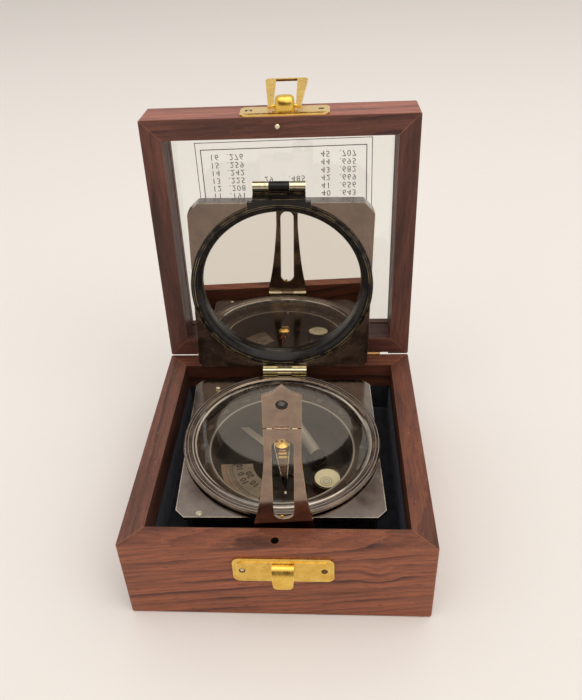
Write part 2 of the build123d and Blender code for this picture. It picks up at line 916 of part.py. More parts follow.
def retainer():
    """Black rounded ring that holds the mirror."""
    o = retainer_outer
    i = retainer_inner
    m = mirror_radius
    d = retainer_depth
    f = retainer_face
    profile = [(o, f), (o, tray_face), (m, tray_face), (m, mirror_level), (i, mirror_level), (i, d)]
    for k in range(1, retainer_steps):
        a = math.radians(90 * k / retainer_steps)
        profile.append((o - (o - i) * math.cos(a), f + (d - f) * (1 - math.sin(a))))
    ring = turned(profile)
    return Location((0, -ring_middle, 0)) * ring


def mirror():
    return lid_disc(mirror_radius - fit_gap, mirror_level, mirror_level + mirror_thickness)


def sight_block():
    """Block at the free end that carries the folding sight's hinge."""
    x0 = top_sight_x - block_width / 2
    x1 = top_sight_x + block_width / 2
    outer = -lid_gap - tray_length - block_stand_off
    block = slab(x0, x1, outer, block_inner(), -block_face, tray_face)
    block = block - lid_disc(ring_step_radius, -2 * past, tray_face + past)
    h = top_sight_width / 2
    end = -top_sight_v
    low = top_sight_w - bridge_thickness
    lip = slab(top_sight_x - h, top_sight_x + h, outer - block_stand_off, outer, -block_face, top_sight_w)
    bridge = slab(top_sight_x - h, top_sight_x + h, end, outer, low, top_sight_w)
    side = top_centre_knuckle / 2 - fit_gap
    r = top_sight_radius
    body = block + lip + bridge
    for a, b in ((top_sight_x - h - past, top_sight_x - side), (top_sight_x + side, top_sight_x + h + past)):
        body = body - rod(r + sight_room, a, b, end, top_sight_w)
    body = body + rod(r, top_sight_x - side, top_sight_x + side, end, top_sight_w)
    return body - rod(top_sight_pin + fit_gap, top_sight_x - h - past, top_sight_x + h + past, end, top_sight_w)


def top_sight_pin_rod():
    h = top_sight_width / 2
    return rod(top_sight_pin, top_sight_x - h, top_sight_x + h, -top_sight_v, top_sight_w)


def top_sight():
    """Folding sight: two knuckles and a leaf lying on the lid's back."""
    h = top_sight_width / 2
    side = top_centre_knuckle / 2 + fit_gap
    r = top_sight_radius
    end = -top_sight_v
    z1 = top_sight_w + r
    leaf = slab(top_sight_x - h, top_sight_x + h, end, end + top_sight_leaf, z1 - top_sight_thickness, z1)
    leaf = leaf - rod(r + sight_room, top_sight_x - side, top_sight_x + side, end, top_sight_w)
    slot_half = top_sight_slot / 2
    slot = slab(
        top_sight_x - slot_half, top_sight_x + slot_half,
        end + top_sight_slot_start, end + top_sight_leaf - top_sight_slot_end, top_sight_w, z1 + past,
    )
    body = leaf - slot
    for a, b in ((top_sight_x - h, top_sight_x - side), (top_sight_x + side, top_sight_x + h)):
        body = body + rod(r, a, b, end, top_sight_w)
    return body - rod(top_sight_pin + fit_gap, top_sight_x - h - past, top_sight_x + h + past, end, top_sight_w)


# Front sight

def arm_bracket():
    """Bracket under the flange with the two outer knuckles, in the compass frame."""
    h = arm_base / 2
    x0 = arm_x - h
    x1 = arm_x + h
    y = arm_axis_y
    z = arm_height
    r = arm_barrel_radius
    low = -top_plate_thickness
    edge = -plate_side / 2
    middle = arm_base / 6 + fit_gap
    strap = slab(x0, x1, y - r, edge, low - strap_below, low)
    foot = slab(x0, x1, edge, -case_side / 2, arm_foot_low, low)
    web = slab(x0, x1, y - arm_web, y + r, low, z)
    body = strap + foot + web
    body = body - rod(r + arm_room, arm_x - middle, arm_x + middle, y, z)
    body = body - slab(arm_x - middle, arm_x + middle, y - 2 * r, y + 2 * r, z, z + 2 * r)
    body = body + rod(r, x0, arm_x - middle, y, z) + rod(r, arm_x + middle, x1, y, z)
    return body - rod(arm_pin_radius + fit_gap, x0 - past, x1 + past, y, z)


def arm_pin():
    h = arm_base / 2
    return rod(arm_pin_radius, arm_x - h, arm_x + h, arm_axis_y, arm_height)


def stand(face):
    """Stands a sheet drawn in XY upright, just in front of its hinge axis."""
    return Location((0, -arm_sheet_ahead, 0), (90, 0, 0)) * extrude(face, arm_thickness / 2, both=True)


def arm_outline():
    """Outline of the arm: a straight shank that flares gently into a wide foot."""
    s = arm_shank / 2
    b = arm_base / 2
    low = arm_base_top
    high = arm_base_top + arm_flare
    top = arm_fold - tip_gap / 2
    flare = [
        (b, low), (b - flare_low_in, low + flare_low_step),
        (s + flare_high_out, high - flare_high_step), (s, high),
    ]
    other = [(-x, y) for x, y in reversed(flare)]
    foot = Polyline((-b, low), (-b, -arm_drop), (b, -arm_drop), (b, low))
    shank = Polyline((s, high), (s, top), (-s, top), (-s, high))
    return make_face(foot + Spline(*flare) + shank + Spline(*other))


def sight_arm():
    """Slotted arm with its flared foot, in the arm's own frame."""
    b = arm_base / 2
    slot_length = arm_slot_top - arm_slot_bottom
    middle = (arm_slot_top + arm_slot_bottom) / 2
    face = arm_outline() - Location((0, middle)) * SlotOverall(slot_length, arm_slot_width, rotation=90)
    inner = arm_base / 6 - fit_gap
    barrel = rod(arm_barrel_radius, -inner, inner)
    sheet = stand(face)
    for x0, x1 in ((-b - past, -inner - fit_gap), (inner + fit_gap, b + past)):
        sheet = sheet - rod(arm_barrel_radius + sheet_relief, x0, x1)
    body = sheet + barrel - rod(arm_pin_radius + fit_gap, -b, b)
    return body + tip_knuckles(False) - tip_pin_hole()


def tip_axis():
    return -arm_sheet_ahead - tip_axis_offset, arm_fold


def tip_knuckles(moving):
    """Tiny three-part barrel at the fold: outer parts move, the middle stays."""
    y, z = tip_axis()
    half = tip_barrel_length / 2
    third = tip_barrel_length / 3
    if moving:
        spans = [(-half, -third / 2 - fit_gap), (third / 2 + fit_gap, half)]
        z0, z1 = z, z + tip_link
    else:
        spans = [(-third / 2 + fit_gap, third / 2 - fit_gap)]
        z0, z1 = z - tip_link, z
    body = None
    for x0, x1 in spans:
        link = slab(x0, x1, -arm_sheet_ahead - arm_thickness / 2, -arm_sheet_ahead, z0, z1)
        part = rod(tip_barrel_radius, x0, x1, y, z) + link
        body = part if body is None else body + part
    return body


def tip_pin_hole():
    y, z = tip_axis()
    half = tip_barrel_length / 2
    return rod(tip_pin_radius + fit_gap, -half - past, half + past, y, z)


def sight_tip():
    """Folding head with its peep hole and point, in the arm's own frame."""
    s = arm_shank / 2
    low = arm_fold + tip_gap / 2
    c = (arm_shoulder + arm_tip) / 2 - tip_shoulder_drop
    inner = s * tip_shoulder_in
    face = make_face(
        Polyline(
            (-s, low), (s, low), (s, arm_shoulder), (inner, c), (0, arm_tip),
            (-inner, c), (-s, arm_shoulder), close=True,
        )
    )
    face = face - Location((0, arm_hole)) * Circle(arm_hole_radius)
    y, z = tip_axis()
    third = tip_barrel_length / 3
    sheet = stand(face) - rod(tip_barrel_radius + tip_relief, -third / 2 - fit_gap, third / 2 + fit_gap, y, z)
    return sheet + tip_knuckles(True) - tip_pin_hole()


def arm_cut_for_tip(arm):
    y, z = tip_axis()
    half = tip_barrel_length / 2
    third = tip_barrel_length / 3
    for x0, x1 in ((-half - fit_gap, -third / 2 + fit_gap), (third / 2 - fit_gap, half + fit_gap)):
        arm = arm - rod(tip_barrel_radius + tip_relief, x0, x1, y, z)
    return arm


def tip_pin():
    y, z = tip_axis()
    half = tip_barrel_length / 2
    return rod(tip_pin_radius, -half, half, y, z)


# Writing the pieces

def save(name, shape):
    solids = shape if isinstance(shape, list) else [shape]
    parts = []
    for item in solids:
        parts.extend(item.solids())
    result = Compound(children=parts) if len(parts) > 1 else parts[0]
    export_step(result, "parts/" + name + ".step")


def place_all(place, shape):
    if isinstance(shape, list):
        return [place * item for item in shape]
    return place * shape


def drilled(shape, nails):
    """The wood with the holes its nails sit in."""
    for nail in nails:
        shape = shape - nail
    return shape


os.makedirs("parts", exist_ok=True)

side_names = ["front", "right", "back", "left"]
rim = Location((0, 0, base_height))
catch_place = face_place(base_plate_z)
clip_place = face_place(lid_plate_edge + plate_height / 2)
base_shapes = base_walls()
base_shapes[0] = drilled(base_shapes[0], place_all(catch_place, latch_nails()))
base_shapes[2] = drilled(base_shapes[2], place_all(rim, butt_nails(-1) + barrel_slots()))
for side_name, shape in zip(side_names, base_shapes):
    save("base_wall_" + side_name, shape)
save("base_floor", base_floor())
save("floor_pad", floor_pad())
save("wall_liner", wall_liner())

lid_shapes = lid_frame()
lid_shapes[0] = drilled(lid_shapes[0], place_all(clip_place, latch_nails()))
lid_shapes[2] = drilled(lid_shapes[2], butt_nails(1) + barrel_slots())
for side_name, shape in zip(side_names, lid_shapes):
    save("lid_rail_" + side_name, place_all(lid_place, shape))
save("lid_pane", place_all(lid_place, lid_pane()))
save("closing_dowel", place_all(lid_place, closing_dowel()))

save("butt_base_leaves", place_all(rim, pair(butt_leaf(-1))))
save("butt_base_nails", place_all(rim, butt_nails(-1)))
save("butt_pins", place_all(rim, pair(butt_pin())))
save("butt_lid_leaves", place_all(lid_place, pair(butt_leaf(1))))
save("butt_lid_nails", place_all(lid_place, butt_nails(1)))

save("base_catch", place_all(catch_place, base_catch()))
save("base_catch_nails", place_all(catch_place, latch_nails()))
save("lid_clip", place_all(lid_place * clip_place, lid_clip()))
save("lid_clip_nails", place_all(lid_place * clip_place, latch_nails()))
axle = Location((latch_x, -box_half - loop_axle_height, loop_axle_edge), (180 - loop_lean, 0, 0))
save("latch_loop", place_all(lid_place * axle, latch_loop()))

for name, make in [
    ("compass_case", compass_case), ("top_plate", top_plate), ("flange_ring", flange_ring),
    ("crystal", crystal), ("glass_bead", glass_bead), ("dial_ring", dial_ring), ("dial_floor", dial_floor),
    ("clinometer_arm", clinometer_arm), ("tube_level", tube_level), ("vial_caps", vial_caps),
    ("bull_cup", bull_cup), ("bull_vial", bull_vial), ("pivot_post", pivot_post),
    ("needle_blades", needle_blades), ("needle_hub", needle_hub), ("lifter_pin", lifter_pin),
    ("corner_plug", corner_plug), ("lever", lever), ("body_hinge_leaf", body_hinge_leaf),
    ("body_hinge_pin", body_hinge_pin), ("arm_bracket", arm_bracket), ("arm_pin", arm_pin),
]:
    save(name, place_all(compass_place, make()))

for name, make in [
    ("lid_hinge_knuckles", lid_hinge_knuckles), ("mirror_tray", mirror_tray), ("lid_ring", lid_ring),
    ("retainer", retainer), ("mirror", mirror), ("sight_block", sight_block),
    ("top_sight_pin", top_sight_pin_rod), ("top_sight", top_sight),
]:
    save(name, place_all(mirror_place, make()))

save("sight_arm", place_all(arm_place, arm_cut_for_tip(sight_arm())))
save("sight_tip", place_all(arm_place, sight_tip()))
save("tip_pin", place_all(arm_place, tip_pin()))
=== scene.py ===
# %% [markdown]
# # Compass box: the looks
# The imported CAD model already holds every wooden, brass and glass piece in its right place.
# This script gives each of them the finish that the real box has, adds the cloth, print and
# engraving that CAD leaves out, and sets up a plain studio. Everything is measured in metres,
# with the origin under the middle of the box, X to the right, Y to the back and Z up.

# %% Frame and units
import bpy
import json
import math
from mathutils import Matrix, Vector, noise


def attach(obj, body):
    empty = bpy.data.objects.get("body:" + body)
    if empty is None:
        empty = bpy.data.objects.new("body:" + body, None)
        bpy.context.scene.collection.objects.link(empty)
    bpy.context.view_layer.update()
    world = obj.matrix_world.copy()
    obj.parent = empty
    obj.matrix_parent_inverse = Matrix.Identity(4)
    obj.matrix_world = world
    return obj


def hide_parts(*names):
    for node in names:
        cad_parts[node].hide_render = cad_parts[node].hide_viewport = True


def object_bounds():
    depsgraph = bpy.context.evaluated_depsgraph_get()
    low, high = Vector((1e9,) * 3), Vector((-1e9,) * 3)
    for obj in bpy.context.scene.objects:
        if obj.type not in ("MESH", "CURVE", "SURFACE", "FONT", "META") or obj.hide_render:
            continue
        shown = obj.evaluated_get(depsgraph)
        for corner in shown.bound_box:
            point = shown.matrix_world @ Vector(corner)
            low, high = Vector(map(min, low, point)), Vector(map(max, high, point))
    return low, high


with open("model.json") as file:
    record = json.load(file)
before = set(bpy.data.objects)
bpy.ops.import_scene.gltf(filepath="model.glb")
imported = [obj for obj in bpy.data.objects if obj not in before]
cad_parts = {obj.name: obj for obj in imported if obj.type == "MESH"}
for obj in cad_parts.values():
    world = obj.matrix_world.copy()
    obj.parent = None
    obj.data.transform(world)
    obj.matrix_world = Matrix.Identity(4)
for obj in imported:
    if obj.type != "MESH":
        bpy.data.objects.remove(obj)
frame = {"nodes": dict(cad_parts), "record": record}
nodes = frame["nodes"]
cad_box = [list(corner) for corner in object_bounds()]
MM = 0.001
print("CAD box", cad_box)

# %% [markdown]
# ## Adding shader nodes
# A finish is a few measured facts: a colour, a gloss and a pattern with a size. Colours are
# the sRGB codes that one reads off a photograph, so one function turns them into Blender's
# linear values. Another adds a shader node with its settings and links, because most of a
# node tree is the same step again.

# %% Shader nodes
def linear(code):
    """A colour written as sRGB hex, in Blender's linear values."""
    values = [int(code[i:i + 2], 16) / 255 for i in (0, 2, 4)]
    return tuple(v / 12.92 if v <= 0.04045 else ((v + 0.055) / 1.055) ** 2.4
                 for v in values) + (1.0,)


def add(tree, kind, inputs=None, stops=None, **settings):
    """Adds one node, sets its settings and its inputs, and links the inputs that are sockets."""
    node = tree.nodes.new("ShaderNode" + kind)
    for name, value in settings.items():
        setattr(node, name, value)
    for name, value in (inputs or {}).items():
        if isinstance(value, bpy.types.NodeSocket):
            tree.links.new(value, node.inputs[name])
        else:
            node.inputs[name].default_value = value
    if stops:
        ramp = node.color_ramp.elements
        while len(ramp) < len(stops):
            ramp.new(0.5)
        for element, (place, code) in zip(ramp, stops):
            element.position = place
            element.color = linear(code)
    return node


def new_finish(name, values):
    """A material whose even properties are set on its one shader."""
    material = bpy.data.materials.new(name)
    material.use_nodes = True
    shader = material.node_tree.nodes["Principled BSDF"]
    for key, value in values.items():
        shader.inputs[key].default_value = value
    return material, material.node_tree, shader


def plain_finish(name, code, roughness, more=None):
    """A finish of one even colour."""
    values = {"Base Color": linear(code), "Roughness": roughness, **(more or {})}
    return new_finish(name, values)[0]


def paint(names, material):
    """Gives a material to CAD nodes."""
    for name in names:
        data = nodes[name].data
        data.materials.clear()
        data.materials.append(material)


print("middle grey in linear values", [round(v, 3) for v in linear("808080")])

# %% [markdown]
# ## Steps that every pattern needs
# A worn surface is built from few steps: noise in the piece's own coordinates, a range cut out
# of it, arithmetic, one colour over another, and a bump. Each has a short function, so that a
# finish reads like a recipe. A worn edge is where a bevelled normal leaves the true one.

# %% Pattern steps
def place_pattern(tree, turn=(0, 0, 0), shift=(0, 0, 0), stretch=(1, 1, 1)):
    """Coordinates in metres that stay with the piece, turned and stretched for a pattern."""
    where = add(tree, "TexCoord").outputs["Object"]
    turned = add(tree, "Mapping", {"Vector": where, "Rotation": turn, "Location": shift})
    return add(tree, "Mapping", {"Vector": turned.outputs[0], "Scale": stretch}).outputs[0]


def blotches(tree, where, scale, detail=2.0, roughness=0.5):
    """Even noise: the scale is in cells per metre."""
    return add(tree, "TexNoise", {"Vector": where, "Scale": scale, "Detail": detail,
                                  "Roughness": roughness}).outputs["Fac"]


def maths(tree, operation, first, second=None):
    """One step of arithmetic on numbers or sockets."""
    inputs = {0: first} if second is None else {0: first, 1: second}
    return add(tree, "Math", inputs, operation=operation).outputs[0]


def vectors(tree, operation, inputs, output=0):
    """One step of arithmetic on places and directions."""
    return add(tree, "VectorMath", inputs, operation=operation).outputs[output]


def spread(tree, value, low, high, new_low=0.0, new_high=1.0, **settings):
    """Stretches a value from one range to another and keeps it there."""
    return add(tree, "MapRange", {"Value": value, "From Min": low, "From Max": high,
                                  "To Min": new_low, "To Max": new_high}, **settings).outputs[0]


def ramp(tree, value, *stops):
    """Turns a value into a colour."""
    return add(tree, "ValToRGB", {"Fac": value}, stops=stops).outputs[0]


def blend(tree, amount, under, code):
    """Lays a colour over another one."""
    inputs = {0: amount, 6: under, 7: linear(code)}
    return add(tree, "Mix", inputs, data_type="RGBA").outputs[2]


def relief(tree, height, distance, strength):
    """A normal that leans with the slope of a pattern."""
    inputs = {"Height": height, "Distance": distance, "Strength": strength}
    return add(tree, "Bump", inputs).outputs[0]


def worn_edge(tree, reach, start, end):
    """0 on a flat face and 1 on an edge, within the given reach of it."""
    soft = add(tree, "Bevel", {"Radius": reach}, samples=6).outputs[0]
    true = add(tree, "NewGeometry").outputs["Normal"]
    return spread(tree, vectors(tree, "DOT_PRODUCT", {0: soft, 1: true}, "Value"), start, end)


def feed(tree, shader, sockets):
    """Links patterns to a shader."""
    for name, socket in sockets.items():
        tree.links.new(socket, shader.inputs[name])


print("CAD nodes to paint", len(nodes))

# %% [markdown]
# ## Growth rings
# The walls and the lid's rails are flat-sawn rosewood. Growth rings cut at a low angle show as
# dark lines about 5 mm apart that climb a little along each board. They swell, thin out and
# break off, with finer lines between them. Rings are circles round the heart of the tree, so
# the pattern is a distance from a far axis, bent by a slow noise and frayed by a quick one.
# A wave texture would be simpler, but its lines never end. A knot pushes the lines aside.

# %% Growth rings
RING = 5.2 * MM
FINE_RING = 0.38 * RING
BEND = 3.2 * MM
FRAY = 0.55 * MM
KNOT_SIZE = 9 * MM


def drawn_noise(tree, where, scale, detail, roughness=0.5):
    """Noise stretched along the grain: the scale is in cells per metre along each axis."""
    placed = add(tree, "Mapping", {"Vector": where, "Scale": scale}).outputs[0]
    return add(tree, "TexNoise", {"Vector": placed, "Scale": 1.0, "Detail": detail,
                                  "Roughness": roughness}).outputs


def bent_grain(tree, grain):
    """The grain's coordinates, pushed about by a slow noise and by a quick one."""
    moved = grain
    for scale, detail, amount in (((15, 55, 55), 4.0, BEND), ((90, 500, 500), 2.0, FRAY)):
        bend = drawn_noise(tree, grain, scale, detail, 0.6)["Color"]
        centred = vectors(tree, "SUBTRACT", {0: bend, 1: (0.5, 0.5, 0.5)})
        pushed = vectors(tree, "SCALE", {0: centred, "Scale": 2 * amount})
        moved = vectors(tree, "ADD", {0: moved, 1: pushed})
    return moved


def ring_distance(tree, grain, knot, lift):
    """Distance from the heart of the tree, made longer round a knot."""
    heart = add(tree, "Mapping", {"Vector": bent_grain(tree, grain), "Scale": (0.02, 1, 1)})
    radius = vectors(tree, "LENGTH", {0: heart.outputs[0]}, "Value")
    where = add(tree, "TexCoord").outputs["Object"]
    away = vectors(tree, "DISTANCE", {0: where, 1: knot}, "Value")
    swell = spread(tree, away, KNOT_SIZE, 0.0, 0.0, lift, interpolation_type="SMOOTHSTEP")
    return maths(tree, "ADD", radius, swell)


def ring_lines(tree, distance, spacing, begin):
    """A dark line in every spacing, which rises slowly and stops short."""
    ring = maths(tree, "FRACT", maths(tree, "DIVIDE", distance, spacing))
    rise = spread(tree, ring, begin, 0.9)
    fall = spread(tree, ring, 0.93, 1.0, 1.0, 0.0)
    return maths(tree, "MINIMUM", rise, fall)


def grown_colour(tree, grain, distance, strength, tones):
    """The wood's own colour: rings that come and go, finer lines, and darker heartwood."""
    pale, middle, dark = tones
    wide = ring_lines(tree, distance, RING, 0.5)
    narrow = ring_lines(tree, distance, FINE_RING, 0.3)
    strong = maths(tree, "MULTIPLY", wide, spread(tree, strength, 0.37, 0.6, 0.08, 1.0))
    fine = maths(tree, "MULTIPLY", narrow, spread(tree, strength, 0.38, 0.6, 0.4, 0.12))
    tone = ramp(tree, maths(tree, "MAXIMUM", strong, fine), (0.0, pale), (0.45, middle),
                (1.0, dark))
    heartwood = drawn_noise(tree, grain, (14, 52, 52), 3.0)["Fac"]
    return blend(tree, spread(tree, heartwood, 0.5, 0.68, 0.0, 0.6), tone, dark)


print("wide and fine rings in mm", RING / MM, round(FINE_RING / MM, 2))

# %% [markdown]
# ## Oiled and handled wood
# Between the rings lie fibres and short open pores. Noise drawn out along the grain gives
# both: 150 by 1700 cells per metre is a fibre of about 7 by 0.6 mm, and 260 by 3600 a pore of
# 4 by 0.3 mm. The faces that look up are made darker by a set factor and hold a little pale
# dust, and edges are rubbed to a lighter brown. The faces inside the well look much darker in
# the photograph, so they get painted shade that makes them half as bright.

# %% Rosewood
WELL_FACE = 44.6 * MM
PORE, DUST, RUBBED = "2a1610", "c8a88e", "b5754d"
NO_KNOT = (9, 9, 9)


def wood_shade(tree, streak, fibre, looks_up, top_shade):
    """How much lighter or darker than its own colour the wood is: fibres, a factor for faces that
    look up, and painted shade on the faces inside the well.
    """
    fibres = maths(tree, "MULTIPLY", spread(tree, streak, 0.3, 0.7, 0.8, 1.18),
                   spread(tree, fibre, 0.3, 0.7, 0.78, 1.2))
    # Faces that look up are scaled by top_shade: darker on the base, and brighter as a painted
    # highlight on the lid's front rail.
    up_facing_tone = maths(tree, "MULTIPLY", fibres,
                    spread(tree, looks_up, 0.5, 1.0, 1.0, top_shade))
    where = add(tree, "TexCoord").outputs["Object"]
    sides = add(tree, "SeparateXYZ", {0: vectors(tree, "ABSOLUTE", {0: where})}).outputs
    outermost = maths(tree, "MAXIMUM", sides["X"], sides["Y"])
    # Painted shade: the faces inside the well are made half as bright.
    inside = spread(tree, outermost, WELL_FACE, WELL_FACE + 0.2 * MM, 0.5, 1.0)
    return maths(tree, "MULTIPLY", up_facing_tone, inside)


def rosewood(name, turn, shift, tilt, tones, top_shade=0.72, knot=NO_KNOT, lift=0.0):
    """Oiled rosewood for one board, with its own stretch of the grain."""
    material, tree, shader = new_finish(name, {"IOR": 1.45})
    straight = place_pattern(tree, turn, shift)
    grain = add(tree, "Mapping", {"Vector": straight, "Rotation": (0, tilt, 0)}).outputs[0]
    strength = drawn_noise(tree, grain, (26, 130, 130), 3.0)["Fac"]
    streak = drawn_noise(tree, grain, (40, 900, 900), 2.0, 0.6)["Fac"]
    fibre = drawn_noise(tree, grain, (150, 1700, 1700), 3.0, 0.65)["Fac"]
    pore = drawn_noise(tree, grain, (260, 3600, 3600), 1.0)["Fac"]
    grit = drawn_noise(tree, grain, (900, 1300, 1300), 2.0)["Fac"]
    normal = add(tree, "NewGeometry").outputs["Normal"]
    looks_up = add(tree, "SeparateXYZ", {0: normal}).outputs["Z"]
    distance = ring_distance(tree, grain, knot, lift)
    grown = grown_colour(tree, grain, distance, strength, tones)
    shade = wood_shade(tree, streak, fibre, looks_up, top_shade)
    fibred = vectors(tree, "SCALE", {0: grown, "Scale": shade})
    open_pore = spread(tree, pore, 0.64, 0.74, 0.0, 0.8)
    dust = maths(tree, "MULTIPLY", spread(tree, grit, 0.7, 0.78, 0.0, 0.5), looks_up)
    dusty = blend(tree, dust, blend(tree, open_pore, fibred, PORE), DUST)
    edge = maths(tree, "MULTIPLY", worn_edge(tree, 0.5 * MM, 0.99, 0.8), strength)
    height = maths(tree, "SUBTRACT", fibre, open_pore)
    feed(tree, shader, {"Base Color": blend(tree, edge, dusty, RUBBED),
                        "Roughness": spread(tree, fibre, 0.3, 0.7, 0.42, 0.65),
                        "Normal": relief(tree, height, 0.05 * MM, 0.6)})
    return material


print("pore in mm", round(1 / 260 / MM, 1), round(1 / 3600 / MM, 2))

# %% [markdown]
# ## The boards
# Each board was sawn from another place in the log, so each has its own shift, and a tilt of
# up to 8 degrees that lets the rings run out at the edge. The front board is the warmest and
# has a knot on its right. The lid's rails are darker, and the front one gets a painted
# highlight where it faces up while the lid stands open.

# %% Boards
ALONG_X = (0, 0, 0)
ALONG_Y = (0, 0, -math.pi / 2)
ALONG_Z = (0, math.pi / 2, 0)
WARM = ("9a583b", "7a432e", "4a251c")
SIDE = ("8a5039", "6e3d2b", "42231b")
CALM = ("835140", "724635", "56342a")
DEEP = ("6b3f32", "5a3329", "40251d")
KNOT = (0.034, -0.0525, 0.0235)
boards = {
    "base_wall_front": (ALONG_X, (0.0, 0.058, 0.009), 0.135, WARM, 0.72, KNOT, 3.5 * MM),
    "base_wall_right": (ALONG_Y, (0.1, 0.072, 0.03), -0.05, SIDE),
    "base_wall_back": (ALONG_X, (0.3, 0.02, 0.02), 0.02, SIDE),
    "base_wall_left": (ALONG_Y, (0.5, 0.081, 0.04), 0.05, CALM),
    "base_floor": (ALONG_X, (0.7, 0.03, 0.05), 0.02, SIDE),
    # A top_shade of 2.6 here is a painted highlight on the face that looks up while the lid stands
    # open.
    "lid_rail_front": (ALONG_X, (0.9, 0.04, 0.06), 0.03, DEEP, 2.6),
    "lid_rail_right": (ALONG_Z, (1.1, 0.05, 0.07), -0.04, DEEP),
    "lid_rail_back": (ALONG_X, (1.3, 0.06, 0.03), 0.02, DEEP),
    "lid_rail_left": (ALONG_Z, (1.5, 0.07, 0.05), 0.03, DEEP),
}
for board, facts in boards.items():
    paint([board], rosewood("Oiled rosewood " + board, *facts))
print("boards", len(boards))

# %% [markdown]
# ## Metal
# Old brass has a mottled skin, brown stains, hairline scratches and bright metal where its
# edges have worn. Spots and stains are even noise whose size is given in millimetres. A
# hairline is noise drawn out 60 times along one direction, in two directions. Lacquer over
# the metal is a clear coat. One function makes every metal, as they differ only in numbers.

# %% Metal
HAIRLINE = (60, 3600, 3600)
CAST_GRAIN = 1400.0


def scratches(tree):
    """Hairlines in two directions."""
    lines = []
    for turn in ((0.2, 0.5, 0.6), (0.9, -0.3, 2.1)):
        drawn = place_pattern(tree, turn, stretch=HAIRLINE)
        lines.append(spread(tree, blotches(tree, drawn, 1.0, 1.0), 0.7, 0.78))
    return maths(tree, "MAXIMUM", *lines)


def metal(name, tones, edge_colour, roughness, patch, reach, wear, coat=0.0,
          stain="5a3a1c", stain_from=0.62, grain=4.0):
    """Metal with spots of a size, light edges within a reach, and a grain in thousandths of a mm;
    the edges are worn bare metal, and on the needle a painted highlight.
    """
    material, tree, shader = new_finish(name, {
        "Metallic": 1.0, "Coat Weight": coat, "Coat Roughness": 0.12})
    where = place_pattern(tree)
    spots = blotches(tree, where, 1 / patch, 5.0, 0.62)
    skin = ramp(tree, spots, (0.3, tones[0]), (0.7, tones[1]))
    elsewhere = place_pattern(tree, shift=(0.3, 0.1, 0.2))
    cloud = blotches(tree, elsewhere, 0.4 / patch, 4.0, 0.7)
    stained = blend(tree, spread(tree, cloud, stain_from, stain_from + 0.14, 0.0, 0.6),
                    skin, stain)
    scratch = scratches(tree)
    rubbed = spread(tree, spots, 0.34, 0.56, 0.2, 1.0)
    edges = maths(tree, "MULTIPLY", worn_edge(tree, reach, 0.995, 0.93), rubbed)
    shown = maths(tree, "MAXIMUM", edges, maths(tree, "MULTIPLY", scratch, 0.25))
    height = maths(tree, "SUBTRACT", blotches(tree, where, CAST_GRAIN), scratch)
    feed(tree, shader, {
        "Base Color": blend(tree, maths(tree, "MULTIPLY", shown, wear), stained, edge_colour),
        "Roughness": spread(tree, spots, 0.3, 0.75, *roughness),
        "Normal": relief(tree, height, grain / 1000 * MM, 0.4)})
    return material


print("hairline drawn out", HAIRLINE[1] / HAIRLINE[0], "times")

# %% [markdown]
# ## The metals of the box
# The catch is thin yellow brass, pressed and lacquered. The compass is cast brass, darkened
# with acid to a brown skin, greyer on its top plate, with a coat of lacquer. The front sight
# is darkened sheet. Hinge barrels, pins and the plug are bare turned brass, pale with age,
# and the hub is yellower. The bead round the glass and the needle are the smoothest. The
# box's own hinges and nails are dull. The mirror is silvered glass.

# %% Metal finishes
lacquered = metal("Lacquered yellow brass", ("dcae45", "f2cc66"), "fbe7a8", (0.18, 0.36),
                  3 * MM, 0.3 * MM, 0.7, 0.3, "8a5a1e", 0.6)
darkened = metal("Acid darkened brass", ("625247", "7d6a5c"), "dcc49a", (0.18, 0.36),
                 7 * MM, 0.4 * MM, 0.8, 0.8, "57402f", 0.64)
greyed = metal("Acid greyed cast brass", ("76695f", "95867b"), "f2e6c8", (0.14, 0.3),
               7 * MM, 0.6 * MM, 1.0, 1.0, "74492a", 0.66)
sheet_brown = metal("Darkened sheet brass", ("7d695c", "98826f"), "d9b27a", (0.09, 0.18),
                    5 * MM, 0.3 * MM, 0.7, 0.5)
bare = metal("Bare turned brass", ("c6bb98", "e6dcbc"), "f6efd8", (0.14, 0.28),
             1.5 * MM, 0.25 * MM, 0.6, grain=1.0)
gold = metal("Turned yellow brass", ("d9a544", "f0cc74"), "ffe9b0", (0.12, 0.26),
             1.2 * MM, 0.25 * MM, 0.8)
silvery = metal("Pale turned brass bead", ("8d8377", "a99f92"), "f6f3ea", (0.07, 0.16),
                6 * MM, 0.2 * MM, 0.4, 0.5, "74492a", 0.8, 0.5)
# The needle's near-white edges are a painted highlight, in place of light on its bevels.
steel = metal("Blued needle steel", ("4c3c33", "64524a"), "fffaf0", (0.06, 0.13),
              4 * MM, 0.5 * MM, 1.0, grain=0.1)
nail_brass = metal("Tarnished nail brass", ("5d4a34", "7d6848"), "d8bd82", (0.3, 0.5),
                   0.8 * MM, 0.2 * MM, 0.5)
hinge_brass = metal("Tarnished hinge brass", ("8f6f45", "b18a56"), "e0c088", (0.2, 0.4),
                    3 * MM, 0.3 * MM, 0.6)
mirror_silver = plain_finish("Silvered mirror glass", "dedad2", 0.012, {"Metallic": 1.0})
print("finishes so far", len(bpy.data.materials))

# %% [markdown]
# ## Black lacquer
# The mirror's ring, the sight block and the bowl's inside are blackened brass. The black is a
# thin lacquer that rubs through along the edges and lets the metal show. It is less glossy
# inside the bowl, and the dial's ring has only a brown toning.

# %% Black lacquer
def enamel(name, deep, light, edge, roughness, reach):
    """Dark lacquer on brass, rubbed through along its edges."""
    material, tree, shader = new_finish(name, {"IOR": 1.5, "Specular IOR Level": 0.28})
    spots = blotches(tree, place_pattern(tree), 260.0, 5.0)
    skin = ramp(tree, spots, (0.35, deep), (0.7, light))
    amount = maths(tree, "MULTIPLY", worn_edge(tree, reach, 0.99, 0.9),
                   spread(tree, spots, 0.42, 0.6))
    feed(tree, shader, {"Base Color": blend(tree, amount, skin, edge),
                        "Roughness": spread(tree, spots, 0.0, 1.0, *roughness)})
    return material


